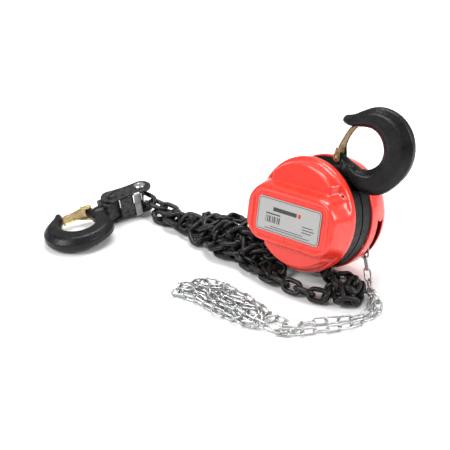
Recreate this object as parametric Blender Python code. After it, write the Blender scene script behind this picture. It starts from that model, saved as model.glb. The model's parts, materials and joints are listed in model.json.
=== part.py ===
"""Hand chain hoist of the one-tonne class: gear-driven load sheave, screw brake, hand wheel, two hooks.

Metres, +Z up.  The hoist rests on the floor on its rear cover, leaning back against its own chain.
Inside the hoist's own frame the drive shaft runs along Y, the gear cover faces -Y
and the top hook is up (+Z).
Lengths below are written in millimetres and scaled by MM where meshes are made.
"""

import math

import bmesh
import bpy
from mathutils import Vector

MM = 0.001
GAP = 0.3

# Driving dimensions of the hoist, in its own frame.
BODY_RADIUS = 71.0
PLATE_SPACING = 34.0
PLATE_THICKNESS = 3.0
COVER_SHEET = 2.0
PAD_HEIGHT = 37.0
WHEEL_COVER_DEPTH = 43.0
STAY_RADIUS = 62.0
STAY_ANGLES = (32.0, 148.0, 270.0)
TOP_PIN = (22.0, 44.0)
TOP_PIN_RADIUS = 4.5
YOKE_LEAN = 36.3
ROLLER_CENTRES = ((-43.0, -14.0), (43.0, -14.0))
JOURNAL_RADIUS = 2.6

# Gear train: sheave gear 30 driven by 10-tooth pinions, disc gears 40 driven by the shaft's 10 teeth.
CENTRE_DISTANCE = 35.0
FIRST_STAGE = {"pinion": 10, "wheel": 40}
SECOND_STAGE = {"pinion": 10, "wheel": 30}

# Chains.
LOAD_LINK_WIDTH = 20.0
HAND_LINK_WIDTH = 11.0
CHAIN_FLOOR = 0.4

# Where the hoist and the bottom block stand, in world millimetres before ORIGIN_SHIFT.
HOIST_CENTRE = (0.0, 0.0, 82.2)
HOIST_TURN = {"lean": -16.0, "roll": -6.0, "yaw": -44.0}
CHAIN_PIN_AT = (-227.0, 146.0, 25.0)
BLOCK_LENGTH = 42.0
BLOCK_YAW = 28.0
BLOCK_PITCH = -5.8
HOOK_BEND = 16.0
ORIGIN_SHIFT = (122.1, -38.9, -0.2)

FRONT_PLANE = -PLATE_SPACING / 2
REAR_PLANE = PLATE_SPACING / 2
WHEEL_PLANE = 41.0

# Gear cover: raised pad for the label, lobe above it, edge flange
PAD_CENTRE_Z = -4.0
PAD_HALF = (64.0, 33.0)
PAD_CORNER = 25.0
PAD_DRAFT = 9.0
LOBE_HEIGHT = 23.0
LOBE_HALF_WIDTH = 43.0
LOBE_RADIUS = 66.5
LOBE_DRAFT = 4.5
FLANGE_HEIGHT = 9.0

# Ratchet and pawls
RATCHET_TEETH = 12
RATCHET_NEAR = REAR_PLANE + 7.6
RATCHET_FAR = RATCHET_NEAR + 5.0
PAWL_RADIUS = 52.0
PAWL_ANGLES = (60.0, 240.0)
PAWL_TURN = 24.0

# Hooks, yokes and latches
HOOK_TURN = {"top": 188.0, "bottom": 0.0}
HOOK_SCALE = {"top": 1.0, "bottom": 0.88}
YOKE_HALF = 13.0
HOOK_REACH = 60.0
YOKE_TOP = 17.2
LATCH_PIN_AT = (16.5, -33.0)
LATCH_WIDTH = 9.3
LATCH_REST = 13.0
BUTTON_RADIUS = 9.0
NECK_RADIUS = 6.0

# Bottom block
BLOCK_HALF_HEIGHT = 17.0
BLOCK_PLATE = 3.0
PLATE_LOBE = 15.0
BLOCK_WAIST = 0.92


# Scene, materials and objects

def clear_scene():
    for item in list(bpy.data.objects):
        bpy.data.objects.remove(item, do_unlink=True)


def make_material(name, color, roughness, metallic):
    material = bpy.data.materials.new(name)
    material.use_nodes = True
    shader = material.node_tree.nodes["Principled BSDF"]
    shader.inputs["Base Color"].default_value = (*color, 1.0)
    shader.inputs["Roughness"].default_value = roughness
    shader.inputs["Metallic"].default_value = metallic
    return material


def make_materials():
    return {
        "red_paint": make_material("red_paint", (0.78, 0.07, 0.035), 0.25, 0.0),
        "black_paint": make_material("black_paint", (0.02, 0.02, 0.02), 0.5, 0.0),
        "forged_black": make_material("forged_black", (0.03, 0.03, 0.032), 0.4, 0.6),
        "black_chain": make_material("black_chain", (0.03, 0.03, 0.035), 0.35, 0.7),
        "zinc_chain": make_material("zinc_chain", (0.62, 0.62, 0.64), 0.35, 0.9),
        "bright_steel": make_material("bright_steel", (0.60, 0.60, 0.60), 0.3, 1.0),
        "gear_steel": make_material("gear_steel", (0.40, 0.40, 0.42), 0.35, 1.0),
        "bronze_latch": make_material("bronze_latch", (0.35, 0.24, 0.12), 0.4, 0.9),
        "brass_latch": make_material("brass_latch", (0.70, 0.52, 0.24), 0.35, 0.9),
        "copper_pin": make_material("copper_pin", (0.45, 0.20, 0.09), 0.4, 0.9),
        "friction_lining": make_material("friction_lining", (0.18, 0.13, 0.09), 0.85, 0.0),
        "label_metal": make_material("label_metal", (0.55, 0.55, 0.55), 0.4, 0.6),
    }


def make_empty(name, parent, location, rotation=(0.0, 0.0, 0.0), order="XYZ"):
    empty = bpy.data.objects.new(name, None)
    bpy.context.scene.collection.objects.link(empty)
    empty.parent = parent
    empty.location = Vector(location) * MM
    empty.rotation_mode = order
    empty.rotation_euler = [math.radians(angle) for angle in rotation]
    return empty


def add_solid(name, mesh_data, parent, material, location=(0.0, 0.0, 0.0), smooth=True):
    bmesh.ops.recalc_face_normals(mesh_data, faces=mesh_data.faces)
    bmesh.ops.scale(mesh_data, vec=(MM, MM, MM), verts=mesh_data.verts)
    mesh = bpy.data.meshes.new(name)
    mesh_data.to_mesh(mesh)
    mesh_data.free()
    if smooth:
        mesh.shade_smooth()
        mesh.set_sharp_from_angle(angle=math.radians(35.0))
    solid = bpy.data.objects.new(name, mesh)
    bpy.context.scene.collection.objects.link(solid)
    solid.parent = parent
    solid.location = Vector(location) * MM
    if material is not None:
        mesh.materials.append(material)
    return solid


def add_tool(name, mesh_data, parent, location=(0.0, 0.0, 0.0)):
    tool = add_solid(name, mesh_data, parent, None, location, smooth=False)
    tool.hide_render = True
    tool.display_type = "WIRE"
    return tool


def combine(target, tool, operation):
    modifier = target.modifiers.new(f"{operation.lower()}_{tool.name}", "BOOLEAN")
    modifier.operation = operation
    modifier.solver = "EXACT"
    modifier.object = tool


# Shapes.  Every function returns a closed bmesh in millimetres.

def circle_points(radius, count, start=0.0):
    step = math.tau / count
    return [(radius * math.cos(start + i * step), radius * math.sin(start + i * step)) for i in range(count)]


def join_rings(shape, rings, close_rings=False):
    """Bridges rings of equal point counts; the ends are capped unless the last ring meets the first."""
    loops = [[shape.verts.new(point) for point in ring] for ring in rings]
    count = len(loops[0])
    pairs = list(zip(loops, loops[1:]))
    if close_rings:
        pairs.append((loops[-1], loops[0]))
    for first, second in pairs:
        for i in range(count):
            j = (i + 1) % count
            shape.faces.new((first[i], first[j], second[j], second[i]))
    if not close_rings:
        shape.faces.new(loops[0])
        shape.faces.new(loops[-1])


def prism(outline, low, high):
    """An (x, z) outline extruded along Y."""
    shape = bmesh.new()
    join_rings(shape, [[(x, y, z) for x, z in outline] for y in (low, high)])
    return shape


def add_prism(shape, outline, low, high):
    join_rings(shape, [[(x, y, z) for x, z in outline] for y in (low, high)])


def turned(profile, count, axis="Y"):
    """A closed (radius, along) profile with no point on the axis, turned into a ring."""
    shape = bmesh.new()
    rings = []
    for radius, along in profile:
        if axis == "Y":
            rings.append([(x, along, z) for x, z in circle_points(radius, count)])
        else:
            rings.append([(x, y, along) for x, y in circle_points(radius, count)])
    join_rings(shape, rings, close_rings=True)
    return shape


def spindle(profile, count, axis="Y"):
    """An open (radius, along) profile from end to end, turned into a solid bar with flat ends."""
    shape = bmesh.new()
    rings = []
    for radius, along in profile:
        if axis == "Y":
            rings.append([(x, along, z) for x, z in circle_points(radius, count)])
        else:
            rings.append([(x, y, along) for x, y in circle_points(radius, count)])
    join_rings(shape, rings)
    return shape


def box(low, high):
    shape = bmesh.new()
    outline = [(low[0], low[2]), (high[0], low[2]), (high[0], high[2]), (low[0], high[2])]
    add_prism(shape, outline, low[1], high[1])
    return shape


def smooth_step(value):
    t = min(max(value, 0.0), 1.0)
    return t * t * (3.0 - 2.0 * t)


def rounded_box_distance(x, z, half_x, half_z, corner):
    dx = abs(x) - (half_x - corner)
    dz = abs(z) - (half_z - corner)
    outside = math.hypot(max(dx, 0.0), max(dz, 0.0))
    return outside + min(max(dx, dz), 0.0) - corner


def spline_points(points, count):
    """Points read evenly from a smooth curve through hand-chosen points."""
    knots = [Vector(point) for point in points]
    knots = [2 * knots[0] - knots[1]] + knots + [2 * knots[-1] - knots[-2]]
    dense = []
    steps = 12
    for i in range(1, len(knots) - 2):
        p0, p1, p2, p3 = knots[i - 1:i + 3]
        for step in range(steps):
            t = step / steps
            dense.append(0.5 * (2 * p1 + (p2 - p0) * t + (2 * p0 - 5 * p1 + 4 * p2 - p3) * t ** 2
                                + (3 * p1 - p0 - 3 * p2 + p3) * t ** 3))
    dense.append(knots[-2])
    travelled = [0.0]
    for a, b in zip(dense, dense[1:]):
        travelled.append(travelled[-1] + (b - a).length)
    result = []
    segment = 0
    for i in range(count):
        target = travelled[-1] * i / (count - 1)
        while segment < len(dense) - 2 and travelled[segment + 1] < target:
            segment += 1
        span = travelled[segment + 1] - travelled[segment]
        result.append(dense[segment].lerp(dense[segment + 1], (target - travelled[segment]) / span))
    return result


# Gears

def gear_outline(teeth, module, phase, points_per_flank=2):
    """Stub involute teeth with running backlash; a tooth stands at the phase angle."""
    pitch_radius = teeth * module / 2
    pressure = math.radians(20.0)
    base_radius = pitch_radius * math.cos(pressure)
    root = pitch_radius - 1.15 * module
    tip = pitch_radius + 0.85 * module
    half_tooth = math.pi / teeth * 0.41
    involute_at_pitch = math.tan(pressure) - pressure

    def half_angle(radius):
        if radius <= base_radius:
            return half_tooth + involute_at_pitch
        roll = math.acos(base_radius / radius)
        return half_tooth + involute_at_pitch - (math.tan(roll) - roll)

    start = max(root, base_radius)
    flank_radii = [start + (tip - start) * i / points_per_flank for i in range(points_per_flank + 1)]
    if root < base_radius:
        flank_radii.insert(0, root)
    outline = []
    for tooth in range(teeth):
        centre = phase + math.tau * tooth / teeth
        for radius in flank_radii:
            angle = centre - half_angle(radius)
            outline.append((radius * math.cos(angle), radius * math.sin(angle)))
        for radius in reversed(flank_radii):
            angle = centre + half_angle(radius)
            outline.append((radius * math.cos(angle), radius * math.sin(angle)))
    return outline


def stage_module(stage):
    return 2 * CENTRE_DISTANCE / (stage["pinion"] + stage["wheel"])


def half_pitch(teeth):
    return math.pi / teeth


# Frame of the hoist

def side_plate(name, side, hoist, material):
    """Flat disc with its rim turned in towards the other plate; side is -1 in front, 1 behind."""
    outer = side * PLATE_SPACING / 2
    inner = outer - side * PLATE_THICKNESS
    lip = side * 1.2
    rim = BODY_RADIUS - 2.0
    bearing_seat = 19.0
    profile = [(bearing_seat, outer), (rim, outer), (rim, lip), (rim - PLATE_THICKNESS, lip),
               (rim - PLATE_THICKNESS, inner), (bearing_seat, inner)]
    plate = add_solid(name, turned(profile, 36), hoist, material)
    low, high = sorted((inner - side * 0.5, lip - side * 2.0))
    top_window = box((-26.0, low, 40.0), (66.0, high, 90.0))
    combine(plate, add_tool(f"{name}_top_window", top_window, hoist), "DIFFERENCE")
    bottom_window = box((-42.0, low, -90.0), (42.0, high, -45.0))
    combine(plate, add_tool(f"{name}_bottom_window", bottom_window, hoist), "DIFFERENCE")
    holes = bmesh.new()
    depth = sorted((outer + side * 1.0, inner - side * 1.0))
    for angle in STAY_ANGLES:
        x, z = on_circle(STAY_RADIUS, angle)
        add_prism(holes, [(x + px, z + pz) for px, pz in circle_points(3.0 + GAP, 12)], *depth)
    pin_x, pin_z = TOP_PIN
    pin_hole = circle_points(TOP_PIN_RADIUS + GAP, 16)
    add_prism(holes, [(pin_x + px, pin_z + pz) for px, pz in pin_hole], *depth)
    for x, z in ROLLER_CENTRES:
        add_prism(holes, [(x + px, z + pz) for px, pz in circle_points(JOURNAL_RADIUS + GAP, 12)], *depth)
    if side < 0:
        for x in (-CENTRE_DISTANCE, CENTRE_DISTANCE):
            add_prism(holes, [(x + px, pz) for px, pz in circle_points(4.0 + GAP, 16)], *depth)
    combine(plate, add_tool(f"{name}_holes", holes, hoist), "DIFFERENCE")
    return plate


def on_circle(radius, degrees):
    angle = math.radians(degrees)
    return radius * math.cos(angle), radius * math.sin(angle)


def stay_bolts(hoist, material):
    """Three shouldered bolts that space the side plates and carry both covers."""
    shoulder = PLATE_SPACING / 2 - PLATE_THICKNESS - GAP
    front_end = FRONT_PLANE - 17.0
    rear_end = REAR_PLANE + 21.0
    profile = [(3.0, front_end), (3.0, -shoulder), (3.6, -shoulder), (3.6, shoulder), (3.0, shoulder),
               (3.0, rear_end)]
    for number, angle in enumerate(STAY_ANGLES, start=1):
        x, z = on_circle(STAY_RADIUS, angle)
        add_solid(f"stay_bolt_{number}", spindle(profile, 12), hoist, material, (x, 0.0, z))


def cover_nuts(hoist, material):
    """Three domed nuts on the front ends of the stay bolts, in the gear cover's holes."""
    near = FRONT_PLANE - 11.0
    profile = [(3.0 + GAP, near), (5.0, near), (5.0, near - 4.0), (3.9, near - 5.0), (3.0 + GAP, near - 5.0)]
    for number, angle in enumerate(STAY_ANGLES, start=1):
        x, z = on_circle(STAY_RADIUS, angle)
        add_solid(f"cover_nut_{number}", turned(profile, 12), hoist, material, (x, 0.0, z))


# Covers



def gear_cover_height(x, z):
    """How far the pressed gear cover stands ahead of the front side plate at (x, z)."""
    pad = rounded_box_distance(x, z - PAD_CENTRE_Z, *PAD_HALF, PAD_CORNER)
    pad_height = PAD_HEIGHT * smooth_step(1.0 - pad / PAD_DRAFT)
    lobe = max(math.hypot(x, z) - LOBE_RADIUS, abs(x) - LOBE_HALF_WIDTH)
    lobe_height = LOBE_HEIGHT * smooth_step(1.0 - lobe / LOBE_DRAFT)
    return max(FLANGE_HEIGHT, lobe_height, pad_height)


def gear_cover(hoist, material):
    count = 40
    sheet = COVER_SHEET
    fractions = (0.965, 0.91, 0.85, 0.77, 0.68, 0.55, 0.34)

    def surface(radius, offset):
        ring = []
        for x, z in circle_points(radius, count):
            ring.append((x, FRONT_PLANE - gear_cover_height(x, z) + offset, z))
        return ring

    def level(radius, y):
        return [(x, y, z) for x, z in circle_points(radius, count)]

    seat = FRONT_PLANE - GAP
    outer = [level(BODY_RADIUS, seat), level(BODY_RADIUS, FRONT_PLANE - FLANGE_HEIGHT + 2.0)]
    outer += [surface(BODY_RADIUS * fraction, 0.0) for fraction in fractions]
    inner = [surface(BODY_RADIUS * fraction, sheet) for fraction in fractions[1:]]
    inner.append(level(BODY_RADIUS - sheet, FRONT_PLANE - FLANGE_HEIGHT + 2.0 + sheet))
    inner.append(level(BODY_RADIUS - sheet, seat))
    shape = bmesh.new()
    shells = []
    for rings in (outer, inner):
        shells.append([[shape.verts.new(point) for point in ring] for ring in rings])
    outer_loops, inner_loops = shells
    inner_centre = inner_loops[len(fractions) - 2]
    rim_to_centre = inner_loops[:len(fractions) - 1]
    inward = [outer_loops[0], inner_loops[-1], inner_loops[-2]] + rim_to_centre
    strips = list(zip(outer_loops, outer_loops[1:]))
    strips += [(second, first) for first, second in zip(inward, inward[1:])]
    for first, second in strips:
        for i in range(count):
            j = (i + 1) % count
            shape.faces.new((first[i], first[j], second[j], second[i]))
    shape.faces.new(outer_loops[-1])
    shape.faces.new(inner_centre)
    bmesh.ops.triangulate(shape, faces=shape.faces)
    cover = add_solid("gear_cover", shape, hoist, material)
    holes = bmesh.new()
    for angle in STAY_ANGLES:
        x, z = on_circle(STAY_RADIUS, angle)
        outline = [(x + px, z + pz) for px, pz in circle_points(5.0 + 2 * GAP, 12)]
        add_prism(holes, outline, FRONT_PLANE - PAD_HEIGHT - 2.0, FRONT_PLANE + 1.0)
    combine(cover, add_tool("gear_cover_holes", holes, hoist), "DIFFERENCE")
    return cover


def name_plate(hoist, material):
    """Blank metal plate on the pad; half sizes 48 by 21."""
    half_x, half_z, corner = 48.0, 21.0, 5.0
    outline = []
    for corner_index, (sx, sz) in enumerate(((1, 1), (-1, 1), (-1, -1), (1, -1))):
        for step in range(4):
            angle = math.radians(90.0 * corner_index + 30.0 * step)
            outline.append((sx * (half_x - corner) + corner * math.cos(angle),
                            PAD_CENTRE_Z + sz * (half_z - corner) + corner * math.sin(angle)))
    face = FRONT_PLANE - PAD_HEIGHT
    return add_solid("name_plate", prism(outline, face - 1.1, face - GAP), hoist, material, smooth=False)


def wheel_cover(hoist, material):
    seat = REAR_PLANE + GAP
    back = REAR_PLANE + WHEEL_COVER_DEPTH
    sheet = COVER_SHEET
    profile = [(BODY_RADIUS, seat), (BODY_RADIUS - 0.5, seat + 14.0), (BODY_RADIUS - 3.0, back - 14.0),
               (BODY_RADIUS - 7.0, back - 6.0), (BODY_RADIUS - 15.0, back - 1.0), (BODY_RADIUS - 24.0, back),
               (8.0, back), (8.0, back - sheet), (BODY_RADIUS - 24.5, back - sheet),
               (BODY_RADIUS - 16.0, back - 1.2 - sheet), (BODY_RADIUS - 8.8, back - 7.0),
               (BODY_RADIUS - 5.0, back - 14.5), (BODY_RADIUS - 2.5, seat + 14.0), (BODY_RADIUS - sheet, seat)]
    cover = add_solid("wheel_cover", turned(profile, 36), hoist, material)
    slots = bmesh.new()
    near, far = WHEEL_PLANE - 10.0, WHEEL_PLANE + 6.5
    for side in (-1, 1):
        outline = [(side * 44.0, 14.0), (side * 80.0, 18.0), (side * 70.0, -54.0), (side * 40.0, -46.0)]
        add_prism(slots, outline, near, far)
    combine(cover, add_tool("wheel_cover_slots", slots, hoist), "DIFFERENCE")
    return cover


# Gear side

def load_sheave(parent, material):
    """Four-pocket sheave: groove for standing links, seats for lying links, ridges between."""
    count = 32
    groove, seat, ridge, flange = 18.2, 20.5, 26.5, 28.5

    def ring_radius(angle, low, high):
        ridge_centre = math.cos(4 * angle)
        return high if ridge_centre < -0.5 else low

    stations = [(-13.0, flange, flange), (-11.0, flange, flange), (-11.0, seat, ridge), (-4.3, seat, ridge),
                (-4.3, groove, groove), (4.3, groove, groove), (4.3, seat, ridge), (11.0, seat, ridge),
                (11.0, flange, flange), (13.0, flange, flange)]
    bore = 8.5
    rings = []
    for along, low, high in stations:
        ring = []
        for i in range(count):
            angle = math.tau * i / count
            radius = ring_radius(angle, low, high)
            ring.append((radius * math.cos(angle), along, radius * math.sin(angle)))
        rings.append(ring)
    hub_front = FRONT_PLANE - 9.3
    hub_rear = REAR_PLANE + 0.5
    hub = 13.0
    tail = [(hub, 13.0), (hub, hub_rear), (bore, hub_rear), (bore, hub_front), (hub, hub_front), (hub, -13.0)]
    for radius, along in tail:
        rings.append([(x, along, z) for x, z in circle_points(radius, count)])
    shape = bmesh.new()
    join_rings(shape, rings, close_rings=True)
    return add_solid("load_sheave", shape, parent, material, smooth=False)


def load_gear(parent, material):
    teeth = SECOND_STAGE["wheel"]
    outline = gear_outline(teeth, stage_module(SECOND_STAGE), 0.0, points_per_flank=1)
    near, far = FRONT_PLANE - 9.0, FRONT_PLANE - 2.5
    gear = add_solid("load_gear", prism(outline, near, far), parent, material, smooth=False)
    bore = prism(circle_points(13.0 + GAP, 20), near - 1.0, far + 1.0)
    combine(gear, add_tool("load_gear_bore", bore, parent), "DIFFERENCE")
    return gear


def drive_shaft(parent, material):
    """Shaft with its pinion; the rear end carries the brake's screw, seen as a plain journal."""
    front_end = FRONT_PLANE - 22.0
    rear_end = REAR_PLANE + 38.0
    pinion_near = FRONT_PLANE - 17.0
    body = spindle([(4.0, front_end), (4.0, pinion_near), (5.0, pinion_near), (5.0, FRONT_PLANE - 9.6),
                    (7.0, FRONT_PLANE - 9.6), (7.0, rear_end - 8.0), (5.0, rear_end - 8.0), (5.0, rear_end)], 20)
    shaft = add_solid("drive_shaft", body, parent, material)
    outline = gear_outline(FIRST_STAGE["pinion"], stage_module(FIRST_STAGE), 0.0)
    pinion = prism(outline, pinion_near, FRONT_PLANE - 9.6)
    combine(shaft, add_tool("drive_shaft_pinion", pinion, parent), "UNION")
    return shaft


def disc_gear(name, parent, material):
    """Large first-stage gear and small second-stage pinion on one short spindle."""
    wheel_teeth = FIRST_STAGE["wheel"]
    pinion_teeth = SECOND_STAGE["pinion"]
    wheel = gear_outline(wheel_teeth, stage_module(FIRST_STAGE), half_pitch(wheel_teeth), points_per_flank=1)
    shape = prism(wheel, FRONT_PLANE - 16.5, FRONT_PLANE - 10.0)
    gear = add_solid(name, shape, parent, material, smooth=False)
    pinion = gear_outline(pinion_teeth, stage_module(SECOND_STAGE), half_pitch(pinion_teeth))
    pinion_tool = prism(pinion, FRONT_PLANE - 10.5, FRONT_PLANE - 2.2)
    combine(gear, add_tool(f"{name}_pinion", pinion_tool, parent), "UNION")
    spindle_tool = spindle([(4.0, FRONT_PLANE - 20.8), (4.0, FRONT_PLANE + 2.5)], 14)
    combine(gear, add_tool(f"{name}_spindle", spindle_tool, parent), "UNION")
    return gear


def gear_end_plate(hoist, material):
    """Carries the front ends of the three gear spindles, on two posts of its own."""
    near, far = FRONT_PLANE - 20.6, FRONT_PLANE - 17.8
    half_height = 14.0
    outline = []
    for side in (1, -1):
        for step in range(9):
            x, z = on_circle(half_height, -90.0 + 180.0 * step / 8)
            outline.append((side * (CENTRE_DISTANCE + x), side * z))
    plate = add_solid("gear_end_plate", prism(outline, near, far), hoist, material, smooth=False)
    holes = bmesh.new()
    for x in (-CENTRE_DISTANCE, 0.0, CENTRE_DISTANCE):
        add_prism(holes, [(x + px, pz) for px, pz in circle_points(4.0 + GAP, 16)], near - 1.0, far + 1.0)
    combine(plate, add_tool("gear_end_plate_holes", holes, hoist), "DIFFERENCE")
    for side in (-1, 1):
        arm = [(side * -5.0, side * 10.0), (side * 5.0, side * 10.0), (side * 5.0, side * 35.5),
               (side * -5.0, side * 35.5)]
        arm_tool = add_tool(f"gear_end_plate_arm_{side + 2}", prism(arm, near + 0.5, far - 0.5), hoist)
        combine(plate, arm_tool, "UNION")
        post = [(px, side * 32.0 + pz) for px, pz in circle_points(3.2, 12)]
        shape = prism(post, far - 1.0, FRONT_PLANE - GAP)
        post_tool = add_tool(f"gear_end_plate_post_{side + 2}", shape, hoist)
        combine(plate, post_tool, "UNION")
    return plate


def sheave_bearing(name, side, hoist, material):
    outer = side * PLATE_SPACING / 2
    inner = outer - side * PLATE_THICKNESS
    profile = [(13.0 + GAP, inner), (18.7, inner), (18.7, outer), (13.0 + GAP, outer)]
    return add_solid(name, turned(profile, 32), hoist, material)


# Chain handling between the side plates

def guide_roller(name, parent, material):
    """Grooved roller with journals that turn in the side plates."""
    half = PLATE_SPACING / 2 - PLATE_THICKNESS - 1.0
    journal = PLATE_SPACING / 2 - GAP
    profile = [(JOURNAL_RADIUS, -journal), (JOURNAL_RADIUS, -half), (8.0, -half), (8.0, -4.5), (5.5, -3.5),
               (5.5, 3.5), (8.0, 4.5), (8.0, half), (JOURNAL_RADIUS, half), (JOURNAL_RADIUS, journal)]
    return add_solid(name, spindle(profile, 20), parent, material)


def chain_stripper(hoist, material):
    """Wedge under the sheave that lifts the chain out of its pockets."""
    outline = [(-9.0, -31.0), (9.0, -31.0), (7.0, -42.0), (0.0, -52.0), (-7.0, -42.0)]
    half = PLATE_SPACING / 2 - PLATE_THICKNESS - GAP
    return add_solid("chain_stripper", prism(outline, -half, half), hoist, material, smooth=False)


def anchor_pin(hoist, material):
    """Pin that holds the slack end of the load chain."""
    half = PLATE_SPACING / 2 - PLATE_THICKNESS - GAP
    outline = [(-36.0 + px, -42.0 + pz) for px, pz in circle_points(3.2, 12)]
    return add_solid("anchor_pin", prism(outline, -half, half), hoist, material)


# Brake and hand wheel



def ratchet_outline():
    outline = []
    for tooth in range(RATCHET_TEETH):
        start = math.tau * tooth / RATCHET_TEETH
        for fraction, radius in ((0.0, 40.0), (0.12, 34.5), (0.55, 36.5)):
            angle = start + fraction * math.tau / RATCHET_TEETH
            outline.append((radius * math.cos(angle), radius * math.sin(angle)))
    return outline


def ratchet_disc(hoist, material):
    near, far = RATCHET_NEAR, RATCHET_FAR
    disc = add_solid("ratchet_disc", prism(ratchet_outline(), near, far), hoist, material, smooth=False)
    bore = prism(circle_points(9.0, 24), near - 1.0, far + 1.0)
    combine(disc, add_tool("ratchet_disc_bore", bore, hoist), "DIFFERENCE")
    return disc


def friction_disc(name, near, parent, material):
    profile = [(14.0, near), (31.0, near), (31.0, near + 2.0), (14.0, near + 2.0)]
    return add_solid(name, turned(profile, 24), parent, material)


def friction_hub(parent, material):
    near = REAR_PLANE + 1.5
    bore = 7.0 + GAP
    profile = [(bore, near), (30.0, near), (30.0, near + 3.5), (8.6, near + 3.5), (8.6, RATCHET_FAR + 2.5),
               (bore, RATCHET_FAR + 2.5)]
    return add_solid("friction_hub", turned(profile, 24), parent, material)


def pawl(name, parent, material):
    """Pawl about its pin at the origin, pointing along -X to the ratchet; thickness along Y."""
    outline = [(2.5, 5.0), (-3.0, 5.2), (-12.0, 2.8), (-16.5, -1.5), (-15.0, -4.8), (-8.0, -4.2), (0.0, -5.2),
               (4.5, -2.5), (5.0, 2.0)]
    shape = prism(outline, RATCHET_NEAR + 0.4, RATCHET_FAR - 0.4)
    piece = add_solid(name, shape, parent, material, smooth=False)
    bore = prism(circle_points(2.5 + GAP, 12), RATCHET_NEAR - 1.0, RATCHET_FAR + 1.0)
    combine(piece, add_tool(f"{name}_bore", bore, parent), "DIFFERENCE")
    return piece


def pawl_pins(hoist, material):
    profile = [(2.5, REAR_PLANE + GAP), (2.5, RATCHET_FAR + 0.4), (4.0, RATCHET_FAR + 0.4),
               (4.0, RATCHET_FAR + 1.6)]
    for side, angle in zip(("upper", "lower"), PAWL_ANGLES):
        x, z = on_circle(PAWL_RADIUS, angle)
        add_solid(f"pawl_pin_{side}", spindle(profile, 12), hoist, material, (x, 0.0, z))


def pawl_springs(hoist, material):
    """Torsion spring on each pawl pin, behind its pawl."""
    near = REAR_PLANE + 1.0
    far = RATCHET_NEAR - 0.5
    profile = [(2.5 + GAP, near), (4.0, near), (4.0, far), (2.5 + GAP, far)]
    for side, angle in zip(("upper", "lower"), PAWL_ANGLES):
        x, z = on_circle(PAWL_RADIUS, angle)
        add_solid(f"pawl_spring_{side}", turned(profile, 12), hoist, material, (x, 0.0, z))


def hand_wheel(parent, material):
    """Pocketed chain wheel: hub and web, then two rims with a ribbed groove between them."""
    count = 36
    near = RATCHET_FAR + 2.9
    bore = 7.0 + GAP
    rim_low = WHEEL_PLANE - 7.5
    rim_high = WHEEL_PLANE + 7.5
    rib = 45.0
    seat = 42.5
    stations = [(bore, near), (33.0, near), (34.0, rim_low), (54.0, rim_low), (54.0, rim_low + 2.0),
                ("ribs", WHEEL_PLANE - 2.5), (40.0, WHEEL_PLANE - 2.5), (40.0, WHEEL_PLANE + 2.5),
                ("ribs", WHEEL_PLANE + 2.5), (54.0, rim_high - 2.0), (54.0, rim_high), (34.0, rim_high),
                (31.0, WHEEL_PLANE + 3.0), (14.0, WHEEL_PLANE + 3.0), (14.0, rim_high), (bore, rim_high)]
    rings = []
    for radius, along in stations:
        ring = []
        for i in range(count):
            angle = math.tau * i / count
            here = radius
            if radius == "ribs":
                here = rib if i % 4 < 2 else seat
            ring.append((here * math.cos(angle), along, here * math.sin(angle)))
        rings.append(ring)
    shape = bmesh.new()
    join_rings(shape, rings, close_rings=True)
    return add_solid("hand_wheel", shape, parent, material, smooth=False)


def castle_nut(parent, material):
    near = WHEEL_PLANE + 7.5 + GAP
    far = near + 6.0
    nut = add_solid("castle_nut", prism(circle_points(9.5, 6), near, far), parent, material, smooth=False)
    bore = prism(circle_points(7.0 + GAP, 20), near - 1.0, far + 1.0)
    combine(nut, add_tool("castle_nut_bore", bore, parent), "DIFFERENCE")
    return nut


# Hooks: both are the same forging.  Hook frame: the yoke pin on Y at the origin, +Z towards the load.



def hook_section(centre, along, half_width, half_thickness, count):
    """A rounded section square to the direction along, in the XZ plane of the hook."""
    side = Vector((-along[1], along[0]))
    ring = []
    for i in range(count):
        angle = math.tau * i / count
        across = math.copysign(abs(math.cos(angle)) ** 0.8, math.cos(angle)) * half_width
        thick = math.copysign(abs(math.sin(angle)) ** 0.8, math.sin(angle)) * half_thickness
        ring.append((centre[0] + side[0] * across, thick, centre[1] + side[1] * across))
    return ring


def hook_stations():
    """Centre, half width and half thickness about the bowl's centre, from lug to bill tip."""
    bowl = 25.0
    outer = ((10.0, 40.5, 9.0), (25.0, 47.5, 10.0), (45.0, 54.0, 10.5), (65.0, 57.5, 10.5), (88.0, 57.5, 10.5),
             (110.0, 60.0, 11.0), (130.0, 62.5, 11.0), (150.0, 63.5, 11.0), (168.0, 61.5, 11.0),
             (185.0, 57.5, 10.5), (202.0, 52.0, 10.0), (220.0, 45.5, 9.0))
    stations = []
    for degrees, radius, thickness in outer:
        angle = math.radians(degrees)
        middle = (radius + bowl) / 2
        centre = (-middle * math.sin(angle), -middle * math.cos(angle))
        stations.append((centre, (radius - bowl) / 2, thickness))
    stations.append(((31.0, 15.5), 7.6, 8.0))
    stations.append(((37.0, 9.6), 6.4, 7.5))
    stations.append(((42.0, 7.0), 4.6, 6.0))
    stations.append(((44.2, 6.2), 2.2, 3.0))
    stations.insert(0, ((2.0, -33.5), 7.0, 7.5))
    stations.insert(0, ((12.0, -34.0), 7.0, 6.4))
    stations.insert(0, ((19.0, -33.6), 5.8, 6.4))
    stations.insert(0, ((22.0, -33.4), 3.4, 4.6))
    return stations


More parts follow.
